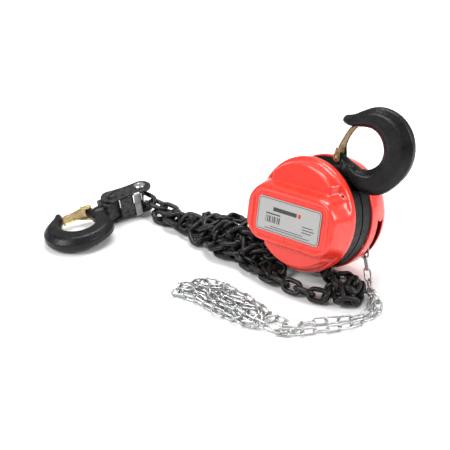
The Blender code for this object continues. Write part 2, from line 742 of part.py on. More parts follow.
def hook_body(name, parent, material, scale):
    count = 14
    stations = hook_stations()
    centres = [Vector(station[0]) for station in stations]
    rings = []
    for i, (centre, half_width, half_thickness) in enumerate(stations):
        before = centres[max(i - 1, 0)]
        after = centres[min(i + 1, len(centres) - 1)]
        along = (after - before).normalized()
        ring = hook_section(centre, along, half_width, half_thickness, count)
        rings.append([(x * scale, y, z * scale + HOOK_REACH) for x, y, z in ring])
    shape = bmesh.new()
    join_rings(shape, rings)
    hook = add_solid(name, shape, parent, material)
    collar = HOOK_REACH - 31.0 * scale
    neck = spindle([(BUTTON_RADIUS, 6.2), (BUTTON_RADIUS, 10.6), (NECK_RADIUS, 10.6), (NECK_RADIUS, YOKE_TOP + 0.4),
                    (10.0, YOKE_TOP + 0.4), (11.0, (YOKE_TOP + collar) / 2), (10.0, collar)], 16, axis="Z")
    combine(hook, add_tool(f"{name}_neck", neck, parent), "UNION")
    pin_x, pin_z = latch_pin_place(scale)
    bore = prism([(pin_x + px, pin_z + pz) for px, pz in circle_points(2.0 + GAP, 12)], -12.0, 12.0)
    combine(hook, add_tool(f"{name}_latch_bore", bore, parent), "DIFFERENCE")
    return hook


def latch_pin_place(scale):
    return LATCH_PIN_AT[0] * scale, LATCH_PIN_AT[1] * scale + HOOK_REACH


def yoke(name, parent, material):
    """Block that turns on the yoke pin and holds the hook's button."""
    outline = [(YOKE_HALF, YOKE_TOP), (-YOKE_HALF, YOKE_TOP)]
    for step in range(9):
        angle = math.radians(180.0 + 180.0 * step / 8)
        outline.append((YOKE_HALF * math.cos(angle) * 0.8, 9.0 * math.sin(angle)))
    block = add_solid(name, prism(outline, -YOKE_HALF, YOKE_HALF), parent, material, smooth=False)
    pin_hole = prism(circle_points(TOP_PIN_RADIUS + GAP, 16), -YOKE_HALF - 1.0, YOKE_HALF + 1.0)
    combine(block, add_tool(f"{name}_pin_hole", pin_hole, parent), "DIFFERENCE")
    socket = spindle([(BUTTON_RADIUS + GAP, 5.9), (BUTTON_RADIUS + GAP, 10.9), (NECK_RADIUS + GAP, 10.9),
                      (NECK_RADIUS + GAP, 20.0)], 20, axis="Z")
    combine(block, add_tool(f"{name}_socket", socket, parent), "DIFFERENCE")
    return block


def latch(name, parent, material, scale):
    """Formed strip about its pin, which lies on Y; its end rests on the bill's inner side."""
    thickness = 1.8
    middle = [(0.0, 0.0), (4.0, 9.0), (5.0, 19.0), (4.6, 30.0), (3.0, 41.0)]
    curve = [Vector((x * scale, z * scale)) for x, z in middle]
    left, right = [], []
    for i, point in enumerate(curve):
        along = (curve[min(i + 1, len(curve) - 1)] - curve[max(i - 1, 0)]).normalized()
        side = Vector((-along[1], along[0])) * thickness / 2
        if i == 0:
            side *= 4.4
        left.append(tuple(point + side))
        right.append(tuple(point - side))
    outline = [(-3.2, -2.6), (0.0, -4.2), (3.2, -2.6)] + right[1:] + left[:0:-1]
    outline.insert(3, (4.2, 0.4))
    outline.append((-3.8, 0.8))
    piece = add_solid(name, prism(outline, -LATCH_WIDTH, LATCH_WIDTH), parent, material, smooth=False)
    fork = box((-9.0, -8.3, -9.0), (12.0, 8.3, 11.5))
    combine(piece, add_tool(f"{name}_fork", fork, parent), "DIFFERENCE")
    bore = prism(circle_points(2.0 + GAP, 10, start=0.2), -12.0, 12.0)
    combine(piece, add_tool(f"{name}_bore", bore, parent), "DIFFERENCE")
    return piece


def latch_pin(name, parent, material):
    head = 3.2
    profile = [(head, -10.7), (head, -9.6), (2.0, -9.6), (2.0, 9.6), (head, 9.6), (head, 10.7)]
    return add_solid(name, spindle(profile, 12), parent, material)


def latch_spring(name, parent, material):
    profile = [(2.0 + GAP, 6.9), (3.6, 6.9), (3.6, 7.9), (2.0 + GAP, 7.9)]
    return add_solid(name, turned(profile, 12), parent, material)


def hook_assembly(prefix, yoke_parent, materials, latch_material, scale):
    """Yoke, swivelling hook, latch, its pin and spring; the empties sit on the joints' axes."""
    yoke(f"{prefix}_yoke", yoke_parent, materials["forged_black"])
    swivel = make_empty(f"{prefix}_swivel_axis", yoke_parent, (0.0, 0.0, 0.0), (0.0, 0.0, HOOK_TURN[prefix]))
    hook_body(f"{prefix}_hook", swivel, materials["forged_black"], scale)
    pin_x, pin_z = latch_pin_place(scale)
    hinge = make_empty(f"{prefix}_latch_axis", swivel, (pin_x, 0.0, pin_z), (0.0, LATCH_REST, 0.0))
    latch(f"{prefix}_latch", hinge, materials[latch_material], scale)
    latch_pin(f"{prefix}_latch_pin", hinge, materials[latch_material])
    latch_spring(f"{prefix}_latch_spring", hinge, materials["bright_steel"])


def top_pin(hoist, material):
    x, z = TOP_PIN
    half = PLATE_SPACING / 2 - 0.2
    outline = [(x + px, z + pz) for px, pz in circle_points(TOP_PIN_RADIUS, 16)]
    return add_solid("top_pin", prism(outline, -half, half), hoist, material)


# Bottom block.  Block frame: the chain pin on Z at the origin, the hook pin at -X; plates lie flat.



def block_outline():
    """Dog-bone outline about two pins, with a narrower waist."""
    outline = []
    for step in range(9):
        angle = math.radians(-80.0 + 160.0 * step / 8)
        outline.append((PLATE_LOBE * math.cos(angle), PLATE_LOBE * math.sin(angle)))
    outline.append((-BLOCK_LENGTH / 2, PLATE_LOBE * BLOCK_WAIST))
    for step in range(9):
        angle = math.radians(100.0 + 160.0 * step / 8)
        outline.append((-BLOCK_LENGTH + PLATE_LOBE * math.cos(angle), PLATE_LOBE * math.sin(angle)))
    outline.append((-BLOCK_LENGTH / 2, -PLATE_LOBE * BLOCK_WAIST))
    return outline


def flat_prism(outline, low, high):
    """An (x, y) outline extruded along Z."""
    shape = bmesh.new()
    join_rings(shape, [[(x, y, z) for x, y in outline] for z in (low, high)])
    return shape


def block_plate(name, low, parent, material):
    high = low + BLOCK_PLATE
    plate = add_solid(name, flat_prism(block_outline(), low, high), parent, material, smooth=False)
    holes = bmesh.new()
    for x in (0.0, -BLOCK_LENGTH):
        outline = [(x + px, py) for px, py in circle_points(TOP_PIN_RADIUS + GAP, 16)]
        join_rings(holes, [[(px, py, z) for px, py in outline] for z in (low - 1.0, high + 1.0)])
    combine(plate, add_tool(f"{name}_holes", holes, parent), "DIFFERENCE")
    return plate


def block_pin(name, x, head, parent, material):
    top = BLOCK_HALF_HEIGHT
    profile = [(head, -top - 3.0), (head, -top - GAP), (TOP_PIN_RADIUS, -top - GAP), (TOP_PIN_RADIUS, top + GAP),
               (head, top + GAP), (head - 0.8, top + 3.2)]
    return add_solid(name, spindle(profile, 18, axis="Z"), parent, material, location=(x, 0.0, 0.0))


def block_spacer(parent, material):
    """Bridge between the plates beside the chain pin: keeps them apart and guides the chain's end."""
    inside = BLOCK_HALF_HEIGHT - BLOCK_PLATE - GAP
    shape = box((-24.0, -14.5, -inside), (6.0, -11.5, inside))
    return add_solid("block_spacer", shape, parent, material, smooth=False)


# Chains as plain solids



def heap(name, stations, root, material, count=12):
    """Low mound along X: stations are (x, y centre, half width, height), flat underneath."""
    rings = []
    for x, y_centre, half_width, height in stations:
        ring = []
        for i in range(count):
            angle = math.pi * i / (count - 1)
            across = -math.copysign(abs(math.cos(angle)) ** 0.75, math.cos(angle)) * half_width
            ring.append((x, y_centre + across, CHAIN_FLOOR + height * math.sin(angle) ** 0.75))
        rings.append(ring)
    shape = bmesh.new()
    join_rings(shape, rings)
    return add_solid(name, shape, root, material)


def chain_tube(name, points, diameter, count, root, material):
    curve = bpy.data.curves.new(name, "CURVE")
    curve.dimensions = "3D"
    curve.bevel_depth = diameter / 2 * MM
    curve.bevel_resolution = 2
    curve.use_fill_caps = True
    spline = curve.splines.new("POLY")
    route = spline_points(points, count)
    spline.points.add(len(route) - 1)
    for node, place in zip(spline.points, route):
        node.co = (*(place * MM), 1.0)
    curve.materials.append(material)
    tube = bpy.data.objects.new(name, curve)
    bpy.context.scene.collection.objects.link(tube)
    tube.parent = root
    return tube


LOAD_BUNDLE = ((-209.0, 127.0, 7.0, 17.0), (-198.0, 120.0, 14.0, 22.0), (-185.0, 108.0, 17.0, 25.0),
               (-165.0, 98.0, 20.0, 28.0), (-145.0, 82.0, 32.0, 33.0), (-125.0, 66.0, 42.0, 39.0),
               (-105.0, 52.0, 48.0, 44.0), (-88.0, 44.0, 48.0, 46.0), (-74.0, 26.0, 52.0, 40.0),
               (-60.0, 4.0, 46.0, 24.0), (-44.0, -12.0, 26.0, 15.0))
LOAD_STRAND = ((-40.0, -36.0, 10.6), (-24.0, -58.0, 10.6), (-12.0, -74.0, 10.6), (0.0, -86.0, 10.6))
LOAD_HEAP = ((12.0, -76.0, 20.0, 18.0), (20.0, -68.0, 32.0, 25.0), (32.0, -64.0, 36.0, 30.0),
             (44.0, -62.0, 30.0, 28.0), (52.0, -60.0, 14.0, 16.0))
HAND_DROP = ((61.0, -24.0, 28.0), (64.0, -32.0, 16.0), (65.0, -46.0, 6.8), (65.5, -70.0, 6.0), (62.0, -96.0, 6.0),
             (45.0, -113.0, 6.0), (23.0, -119.0, 6.0), (0.0, -122.0, 6.0), (-24.0, -126.0, 6.0),
             (-34.0, -127.0, 6.0))
HAND_STRAND = ((24.0, -133.0, 6.0), (10.0, -138.0, 6.0), (-7.0, -140.0, 6.0), (-24.0, -143.0, 6.0),
               (-34.0, -144.0, 6.0))
HAND_HEAP = ((-188.0, -60.0, 6.0, 8.0), (-170.0, -54.0, 16.0, 13.0), (-152.0, -54.0, 24.0, 15.0),
             (-133.0, -64.0, 32.0, 16.0), (-114.0, -76.0, 36.0, 16.0), (-96.0, -92.0, 36.0, 16.0),
             (-76.0, -108.0, 30.0, 15.0), (-58.0, -126.0, 22.0, 14.0), (-41.0, -134.0, 14.0, 12.0))


def chain_on_sheave(hoist, material):
    """Standing-link width of the load chain over the sheave, with both falls down to the lower opening."""
    inner, outer = 18.8, 30.0
    half = 3.6
    low = -58.0
    steps = 12
    outline = [(outer, low)]
    for step in range(steps + 1):
        angle = math.pi * step / steps
        outline.append((outer * math.cos(angle), outer * math.sin(angle)))
    outline += [(-outer, low), (-inner, low)]
    for step in range(steps + 1):
        angle = math.pi * (1 - step / steps)
        outline.append((inner * math.cos(angle), inner * math.sin(angle)))
    outline.append((inner, low))
    return add_solid("load_chain_on_sheave", prism(outline, -half, half), hoist, material, smooth=False)


def chain_on_wheel(hoist, material):
    """Hand chain round the top of the hand wheel."""
    inner, outer = 41.0, 50.0
    half = 2.0
    steps = 18
    first, last = math.radians(-14.0), math.radians(194.0)
    angles = [first + (last - first) * step / steps for step in range(steps + 1)]
    outline = [(outer * math.cos(angle), outer * math.sin(angle)) for angle in angles]
    outline += [(inner * math.cos(angle), inner * math.sin(angle)) for angle in reversed(angles)]
    shape = prism(outline, WHEEL_PLANE - half, WHEEL_PLANE + half)
    return add_solid("hand_chain_on_wheel", shape, hoist, material, smooth=False)


# Assembly

def build_hoist_body(hoist, materials):
    side_plate("side_plate_front", -1, hoist, materials["black_paint"])
    side_plate("side_plate_rear", 1, hoist, materials["black_paint"])
    stay_bolts(hoist, materials["forged_black"])
    gear_cover(hoist, materials["red_paint"])
    cover_nuts(hoist, materials["forged_black"])
    wheel_cover(hoist, materials["red_paint"])
    name_plate(hoist, materials["label_metal"])
    gear_end_plate(hoist, materials["bright_steel"])
    sheave_bearing("sheave_bearing_front", -1, hoist, materials["bright_steel"])
    sheave_bearing("sheave_bearing_rear", 1, hoist, materials["bright_steel"])
    chain_stripper(hoist, materials["forged_black"])
    anchor_pin(hoist, materials["copper_pin"])
    top_pin(hoist, materials["bright_steel"])
    ratchet_disc(hoist, materials["gear_steel"])
    pawl_pins(hoist, materials["bright_steel"])
    pawl_springs(hoist, materials["bright_steel"])


def build_drive(hoist, materials):
    sheave_axis = make_empty("sheave_axis", hoist, (0.0, 0.0, 0.0))
    load_sheave(sheave_axis, materials["gear_steel"])
    load_gear(sheave_axis, materials["gear_steel"])
    shaft_axis = make_empty("shaft_axis", hoist, (0.0, 0.0, 0.0))
    drive_shaft(shaft_axis, materials["gear_steel"])
    friction_hub(shaft_axis, materials["gear_steel"])
    friction_disc("friction_disc_inner", REAR_PLANE + 5.3, shaft_axis, materials["friction_lining"])
    friction_disc("friction_disc_outer", RATCHET_FAR + GAP, shaft_axis, materials["friction_lining"])
    hand_wheel(shaft_axis, materials["forged_black"])
    castle_nut(shaft_axis, materials["bright_steel"])
    for side, x in (("left", -CENTRE_DISTANCE), ("right", CENTRE_DISTANCE)):
        gear_axis = make_empty(f"disc_gear_{side}_axis", hoist, (x, 0.0, 0.0))
        disc_gear(f"disc_gear_{side}", gear_axis, materials["gear_steel"])
    for side, (x, z) in zip(("left", "right"), ROLLER_CENTRES):
        roller_axis = make_empty(f"guide_roller_{side}_axis", hoist, (x, 0.0, z))
        guide_roller(f"guide_roller_{side}", roller_axis, materials["gear_steel"])
    for side, angle in zip(("upper", "lower"), PAWL_ANGLES):
        x, z = on_circle(PAWL_RADIUS, angle)
        turn = (0.0, PAWL_TURN - angle, 0.0)
        pawl_axis = make_empty(f"pawl_{side}_axis", hoist, (x, 0.0, z), turn)
        pawl(f"pawl_{side}", pawl_axis, materials["gear_steel"])


def build_bottom_block(root, materials):
    block = make_empty("block_axis", root, CHAIN_PIN_AT, (0.0, BLOCK_PITCH, BLOCK_YAW), "YXZ")
    inside = BLOCK_HALF_HEIGHT - BLOCK_PLATE
    block_plate("block_plate_upper", inside, block, materials["forged_black"])
    block_plate("block_plate_lower", -BLOCK_HALF_HEIGHT, block, materials["forged_black"])
    block_pin("chain_pin", 0.0, 7.5, block, materials["bright_steel"])
    block_pin("hook_pin", -BLOCK_LENGTH, 6.5, block, materials["forged_black"])
    block_spacer(block, materials["bright_steel"])
    hook_frame = make_empty("bottom_yoke_axis", block, (-BLOCK_LENGTH, 0.0, 0.0), (0.0, 0.0, HOOK_BEND))
    hook_lie = make_empty("bottom_hook_frame", hook_frame, (0.0, 0.0, 0.0), (-90.0, 0.0, 90.0))
    hook_assembly("bottom", hook_lie, materials, "brass_latch", HOOK_SCALE["bottom"])


def build_chains(root, hoist, materials):
    black, zinc = materials["black_chain"], materials["zinc_chain"]
    chain_on_sheave(hoist, black)
    chain_on_wheel(hoist, zinc)
    heap("load_chain_bundle", LOAD_BUNDLE, root, black)
    chain_tube("load_chain_strand", LOAD_STRAND, LOAD_LINK_WIDTH, 6, root, black)
    heap("load_chain_heap", LOAD_HEAP, root, black)
    chain_tube("hand_chain_drop", HAND_DROP, HAND_LINK_WIDTH, 12, root, zinc)
    chain_tube("hand_chain_strand", HAND_STRAND, HAND_LINK_WIDTH, 6, root, zinc)
    heap("hand_chain_heap", HAND_HEAP, root, zinc)


def build():
    clear_scene()
    materials = make_materials()
    root = make_empty("hoist_root", None, ORIGIN_SHIFT)
    turn = (HOIST_TURN["lean"], HOIST_TURN["roll"], HOIST_TURN["yaw"])
    hoist = make_empty("hoist_frame", root, HOIST_CENTRE, turn, "YXZ")
    build_hoist_body(hoist, materials)
    build_drive(hoist, materials)
    top_yoke_axis = make_empty("top_yoke_axis", hoist, (TOP_PIN[0], 0.0, TOP_PIN[1]), (0.0, YOKE_LEAN, 0.0))
    hook_assembly("top", top_yoke_axis, materials, "bronze_latch", HOOK_SCALE["top"])
    build_bottom_block(root, materials)
    build_chains(root, hoist, materials)


build()
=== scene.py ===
"""Looks of the hand chain hoist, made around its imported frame.

Shapes are worked out in millimetres and scaled by MM when their meshes are made.  Each sub-assembly is
drawn in its own frame: the hoist's (shaft along Y, top hook up), a hook's (yoke pin on Y at the origin,
+Z towards the load), the bottom block's (chain pin on Z at the origin, hook pin at -X).
"""

import json
from math import asin, cos, exp, hypot, pi, radians, sin, sqrt, tau

import bmesh
import bpy
import numpy as np
from mathutils import Euler, Matrix, Vector


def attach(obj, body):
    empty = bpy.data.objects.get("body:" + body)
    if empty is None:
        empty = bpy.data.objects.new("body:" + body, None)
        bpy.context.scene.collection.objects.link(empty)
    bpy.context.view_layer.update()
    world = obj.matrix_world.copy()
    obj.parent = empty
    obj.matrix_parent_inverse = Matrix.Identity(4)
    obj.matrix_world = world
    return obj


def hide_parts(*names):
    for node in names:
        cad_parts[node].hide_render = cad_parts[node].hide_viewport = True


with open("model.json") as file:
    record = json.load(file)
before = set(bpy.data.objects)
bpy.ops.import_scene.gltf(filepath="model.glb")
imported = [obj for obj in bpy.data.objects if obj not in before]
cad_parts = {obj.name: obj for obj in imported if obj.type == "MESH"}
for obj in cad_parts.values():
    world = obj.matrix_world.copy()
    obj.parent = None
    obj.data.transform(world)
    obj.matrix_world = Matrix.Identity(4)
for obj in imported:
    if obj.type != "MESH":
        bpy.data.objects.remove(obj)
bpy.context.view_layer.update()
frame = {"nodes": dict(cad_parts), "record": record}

MM = 0.001

# Where the sub-assemblies stand, the same as in the CAD model.
ORIGIN_SHIFT = Vector((122.1, -38.9, -0.2))
HOIST_CENTRE = Vector((0.0, 0.0, 82.2))
HOIST_TURN = (-16.0, -6.0, -44.0)
TOP_PIN = (22.0, 0.0, 44.0)
YOKE_LEAN = 36.3
TOP_HOOK_TURN = 188.0
CHAIN_PIN_AT = Vector((-227.0, 146.0, 25.0))
BLOCK_TURN = (0.0, -5.8, 28.0)
BLOCK_LENGTH = 42.0
HOOK_BEND = 16.0
LATCH_PIN_AT = (16.5, -33.0)
LATCH_REST = 13.0
HOOK_REACH = 60.0
TOP_SCALE = 1.0
BOTTOM_SCALE = 0.88

# Hoist body.
BODY_RADIUS = 71.0
FRONT_PLANE = -17.0
REAR_PLANE = 17.0
WHEEL_PLANE = 41.0
PAD_HEIGHT = 37.0
PAD_CENTRE_Z = -4.0
WHEEL_COVER_DEPTH = 43.0
STAY_RADIUS = 62.0
STAY_ANGLES = (32.0, 148.0, 270.0)


def turned_by(angles, order="XYZ"):
    return Euler([radians(angle) for angle in angles], order).to_matrix().to_4x4()


def at(x, y, z):
    return Matrix.Translation((x, y, z))


HOIST = Matrix.Translation(HOIST_CENTRE + ORIGIN_SHIFT) @ turned_by(HOIST_TURN, "YXZ")
TOP_YOKE = HOIST @ at(*TOP_PIN) @ turned_by((0.0, YOKE_LEAN, 0.0))
TOP_HOOK = TOP_YOKE @ turned_by((0.0, 0.0, TOP_HOOK_TURN))
BLOCK = Matrix.Translation(CHAIN_PIN_AT + ORIGIN_SHIFT) @ turned_by(BLOCK_TURN, "YXZ")
HOOK_PIN = BLOCK @ at(-BLOCK_LENGTH, 0, 0)
BOTTOM_YOKE = HOOK_PIN @ turned_by((0.0, 0.0, HOOK_BEND)) @ turned_by((-90.0, 0.0, 90.0))
BOTTOM_HOOK = BOTTOM_YOKE


# Materials.  Each is a Principled shader with its own pattern of colour, roughness and relief.

class Shader:
    """A node material whose pattern lies in the piece's own coordinates, scaled to millimetres."""

    def __init__(self, name, roughness=0.5, metallic=0.0, coat=0.0, coat_roughness=0.1, specular=0.5):
        self.material = bpy.data.materials.new(name)
        self.material.use_nodes = True
        self.tree = self.material.node_tree
        self.surface = self.tree.nodes["Principled BSDF"]
        for key, value in (("Roughness", roughness), ("Metallic", metallic), ("Coat Weight", coat),
                           ("Coat Roughness", coat_roughness), ("Specular IOR Level", specular)):
            self.surface.inputs[key].default_value = value
        coordinates = self.add("TexCoord", {})
        to_mm = {"Scale": (1 / MM, 1 / MM, 1 / MM), "Vector": coordinates.outputs["Object"]}
        self.place = self.add("Mapping", to_mm).outputs["Vector"]

    def add(self, kind, inputs, **settings):
        """A new node; each of its inputs takes a value or another node's output."""
        node = self.tree.nodes.new("ShaderNode" + kind)
        for key, value in settings.items():
            setattr(node, key, value)
        for key, value in inputs.items():
            if isinstance(value, bpy.types.NodeSocket):
                self.tree.links.new(value, node.inputs[key])
            else:
                node.inputs[key].default_value = value
        return node

    def noise(self, size, detail=4.0, roughness=0.55):
        """Noise whose features are about size millimetres."""
        inputs = {"Vector": self.place, "Scale": 1.0 / size, "Detail": detail, "Roughness": roughness}
        return self.add("TexNoise", inputs).outputs["Fac"]

    def spots(self, size):
        return self.add("TexVoronoi", {"Vector": self.place, "Scale": 1.0 / size}).outputs["Distance"]

    def ramp(self, source, stops):
        """Grey levels or colours against a value: stops are two pairs of (position, colour or level)."""
        node = self.add("ValToRGB", {"Fac": source})
        for element, (position, value) in zip(node.color_ramp.elements, stops):
            element.position = position
            element.color = (*value, 1.0) if isinstance(value, tuple) else (value, value, value, 1.0)
        return node.outputs["Color"]

    def mottle(self, size, first, second, low=0.3, high=0.7, **pattern):
        """Noise whose low places take the first colour or level and whose high places take the second."""
        return self.ramp(self.noise(size, **pattern), ((low, first), (high, second)))

    def mix(self, factor, first, color):
        node = self.add("Mix", {"Factor": factor}, data_type="RGBA")
        for socket, value in ((node.inputs[6], first), (node.inputs[7], color)):
            if isinstance(value, tuple):
                socket.default_value = (*value, 1.0)
            else:
                self.tree.links.new(value, socket)
        return node.outputs[2]

    def edges(self, low, high):
        """One on a mesh's sharp outer edges, nought on its flats."""
        pointiness = self.add("NewGeometry", {}).outputs["Pointiness"]
        return self.ramp(pointiness, ((low, 0.0), (high, 1.0)))

    def times(self, first, second):
        return self.add("Math", {0: first, 1: second}, operation="MULTIPLY").outputs[0]

    def color(self, source):
        self.tree.links.new(source, self.surface.inputs["Base Color"])

    def roughness(self, source):
        self.tree.links.new(source, self.surface.inputs["Roughness"])

    def relief(self, source, depth):
        """Bump of about depth millimetres."""
        node = self.add("Bump", {"Strength": 1.0, "Distance": depth * MM, "Height": source})
        self.tree.links.new(node.outputs["Normal"], self.surface.inputs["Normal"])


def red_paint():
    shader = Shader("red_paint", roughness=0.34, coat=0.55, coat_roughness=0.05, specular=0.35)
    tone = shader.noise(38.0, detail=2.0)
    shader.color(shader.ramp(tone, ((0.3, (0.70, 0.026, 0.013)), (0.7, (0.76, 0.033, 0.017)))))
    shader.roughness(shader.mottle(6.0, 0.24, 0.36))
    shader.relief(shader.noise(14.0, detail=0.0), 0.03)
    return shader.material


def chipped_black():
    """Black paint on the frame plates, rubbed to steel in flecks."""
    shader = Shader("chipped_black", roughness=0.5, specular=0.25)
    chips = shader.mottle(2.6, 0.0, 1.0, low=0.66, high=0.72, detail=6.0, roughness=0.7)
    ground = shader.mottle(20.0, (0.004, 0.004, 0.004), (0.010, 0.010, 0.010))
    shader.color(shader.mix(chips, ground, (0.16, 0.14, 0.12)))
    shader.roughness(shader.mottle(5.0, 0.38, 0.62))
    shader.relief(shader.noise(1.4, detail=5.0), 0.07)
    return shader.material


def forged_black():
    """Painted forging: uneven gloss, a grained skin, and a painted highlight of lighter grey along the sharp
    edges, where the bevels catch the light.
    """
    shader = Shader("forged_black", roughness=0.4, specular=0.22)
    ground = shader.mottle(16.0, (0.004, 0.004, 0.005), (0.012, 0.012, 0.013), high=0.75)
    # Painted highlight: lighter grey on the mesh's sharp edges, broken up by noise, stands in for light on
    # the bevels.
    bevel_highlight_mask = shader.times(shader.edges(0.516, 0.60), shader.mottle(5.0, 0.0, 1.0, low=0.35, high=0.65))
    specks = shader.mottle(1.1, 0.0, 1.0, low=0.68, high=0.76, detail=5.0, roughness=0.75)
    with_painted_bevel_highlight = shader.mix(bevel_highlight_mask, ground, (0.09, 0.09, 0.095))
    shader.color(shader.mix(specks, with_painted_bevel_highlight, (0.14, 0.14, 0.14)))
    shader.roughness(shader.mottle(4.0, 0.20, 0.42, detail=6.0))
    shader.relief(shader.noise(2.6, detail=6.0, roughness=0.62), 0.30)
    return shader.material


def black_chain():
    shader = Shader("black_chain", roughness=0.3, metallic=0.2, specular=0.35)
    ground = shader.mottle(9.0, (0.006, 0.006, 0.006), (0.018, 0.018, 0.017))
    rubbed = shader.mottle(2.4, 0.0, 1.0, low=0.60, high=0.74, detail=5.0)
    shader.color(shader.mix(rubbed, ground, (0.05, 0.05, 0.048)))
    shader.roughness(shader.mottle(3.0, 0.24, 0.42, detail=5.0))
    shader.relief(shader.noise(0.9, detail=4.0), 0.05)
    return shader.material


def zinc_chain():
    shader = Shader("zinc_chain", roughness=0.3, metallic=0.85)
    ground = shader.mottle(7.0, (0.34, 0.35, 0.35), (0.60, 0.61, 0.60), low=0.25, high=0.75)
    dulled = shader.mottle(3.0, 0.0, 1.0, low=0.58, high=0.8, detail=5.0)
    shader.color(shader.mix(dulled, ground, (0.16, 0.165, 0.16)))
    shader.roughness(shader.mottle(2.0, 0.22, 0.40, detail=4.0))
    shader.relief(shader.noise(0.7, detail=3.0), 0.025)
    return shader.material


def machined_steel(name, dark, light, low, high):
    """Turned or ground steel, with fine marks and a little oil staining."""
    shader = Shader(name, roughness=low, metallic=1.0)
    stain = shader.noise(8.0, detail=5.0)
    shader.color(shader.ramp(stain, ((0.3, dark), (0.7, light))))
    shader.roughness(shader.ramp(shader.noise(1.2, detail=4.0), ((0.3, low), (0.7, high))))
    shader.relief(shader.noise(0.5, detail=2.0), 0.02)
    return shader.material


def plated_latch(name, dark, light):
    """Bronze or brass plated strip, darker where it has tarnished."""
    shader = Shader(name, roughness=0.32, metallic=0.9)
    tarnish = shader.mottle(4.5, 0.0, 1.0, low=0.35, detail=6.0, roughness=0.65)
    shader.color(shader.mix(tarnish, light, dark))
    shader.roughness(shader.mottle(2.0, 0.24, 0.46, detail=4.0))
    shader.relief(shader.noise(0.8, detail=4.0), 0.05)
    return shader.material


def friction_lining():
    shader = Shader("friction_lining", roughness=0.9)
    shader.color(shader.ramp(shader.spots(0.9), ((0.0, (0.22, 0.15, 0.09)), (0.7, (0.10, 0.075, 0.05)))))
    shader.relief(shader.noise(0.6, detail=4.0), 0.08)
    return shader.material


def label_silver():
    """Brushed silver foil."""
    shader = Shader("label_silver", roughness=0.5, metallic=0.25, specular=0.3)
    grain = shader.noise(0.9, detail=5.0, roughness=0.7)
    shader.color(shader.ramp(grain, ((0.3, (0.36, 0.36, 0.355)), (0.7, (0.45, 0.445, 0.44)))))
    shader.roughness(shader.mottle(5.0, 0.36, 0.48))
    shader.relief(grain, 0.012)
    return shader.material


def label_ink():
    shader = Shader("label_ink", roughness=0.55)
    shader.color(shader.mottle(2.0, (0.020, 0.020, 0.022), (0.050, 0.050, 0.052)))
    shader.relief(shader.noise(0.8), 0.01)
    return shader.material


def label_accent():
    shader = Shader("label_accent", roughness=0.5)
    shader.color(shader.mottle(3.0, (0.50, 0.020, 0.015), (0.62, 0.035, 0.025)))
    shader.relief(shader.noise(0.8), 0.01)
    return shader.material


def pale_floor():
    shader = Shader("pale_floor", roughness=0.8, specular=0.2)
    shader.color(shader.mottle(300.0, (0.86, 0.86, 0.86), (0.89, 0.89, 0.89)))
    return shader.material


PAINT = {
    "red_paint": red_paint(),
    "black_paint": chipped_black(),
    "forged_black": forged_black(),
    "black_chain": black_chain(),
    "zinc_chain": zinc_chain(),
    "bright_steel": machined_steel("bright_steel", (0.42, 0.41, 0.40), (0.66, 0.66, 0.65), 0.20, 0.38),
    "gear_steel": machined_steel("gear_steel", (0.20, 0.20, 0.20), (0.38, 0.38, 0.39), 0.28, 0.48),
    "bronze_latch": plated_latch("bronze_latch", (0.10, 0.062, 0.030), (0.36, 0.24, 0.115)),
    "brass_latch": plated_latch("brass_latch", (0.36, 0.25, 0.10), (0.78, 0.62, 0.32)),
    "copper_pin": plated_latch("copper_pin", (0.10, 0.040, 0.020), (0.48, 0.20, 0.09)),
    "friction_lining": friction_lining(),
    "label_metal": label_silver(),
}
INK = label_ink()
ACCENT = label_accent()


# Camera, floor and light

FLOOR_HALF = 6.0
VIEW_DOWN = 30.0


def look_along(name, position, target, data):
    thing = bpy.data.objects.new(name, data)
    bpy.context.scene.collection.objects.link(thing)
    thing.location = position
    thing.rotation_euler = (Vector(target) - Vector(position)).to_track_quat("-Z", "Y").to_euler()
    return thing


def make_camera():
    data = bpy.data.cameras.new("camera")
    data.sensor_width = 36.0
    data.lens = 85.04
    position = Vector((0.0101, -1.1761, 0.7209))
    down = radians(VIEW_DOWN)
    ahead = Vector((0.0, cos(down), -sin(down)))
    bpy.context.scene.camera = look_along("camera", position, position + ahead, data)


def make_floor():
    shape = bmesh.new()
    corners = [(FLOOR_HALF * x, FLOOR_HALF * y) for x, y in ((-1, -1), (1, -1), (1, 1), (-1, 1))]
    shape.faces.new([shape.verts.new((x, y, 0.0)) for x, y in corners])
    mesh = bpy.data.meshes.new("floor")
    shape.to_mesh(mesh)
    shape.free()
    mesh.materials.append(pale_floor())
    floor = bpy.data.objects.new("floor", mesh)
    bpy.context.scene.collection.objects.link(floor)


def area_light(name, position, size, power, target=(0.0, 0.0, 0.06)):
    data = bpy.data.lights.new(name, "AREA")
    data.shape = "RECTANGLE"
    data.size, data.size_y = size
    data.energy = power
    look_along(name, position, target, data)


def make_light():
    area_light("softbox_left", (-1.3, -0.7, 1.3), (1.0, 0.7), 26.0)
    area_light("softbox_right", (1.3, -0.5, 0.9), (0.5, 0.9), 15.0)
    area_light("softbox_top", (0.1, 0.5, 1.7), (1.3, 0.6), 28.0)
    world = bpy.data.worlds.new("studio")
    world.use_nodes = True
    background = world.node_tree.nodes["Background"]
    background.inputs["Color"].default_value = (1.0, 1.0, 1.0, 1.0)
    background.inputs["Strength"].default_value = 0.46
    bpy.context.scene.world = world
    bpy.context.scene.view_settings.view_transform = "Standard"


# Shapes

def circle(radius, count):
    step = tau / count
    return [(radius * cos(i * step), radius * sin(i * step)) for i in range(count)]


def on_circle(radius, degrees):
    angle = radians(degrees)
    return radius * cos(angle), radius * sin(angle)


def bridge(shape, rings, closed=False, caps=True):
    """Quads between rings of equal point counts; ends are capped unless the last ring meets the first."""
    loops = [[shape.verts.new(point) for point in ring] for ring in rings]
    count = len(loops[0])
    pairs = list(zip(loops, loops[1:]))
    if closed:
        pairs.append((loops[-1], loops[0]))
    for first, second in pairs:
        for i in range(count):
            j = (i + 1) % count
            shape.faces.new((first[i], first[j], second[j], second[i]))
    if caps and not closed:
        shape.faces.new(loops[0])
        shape.faces.new(loops[-1])
    return loops


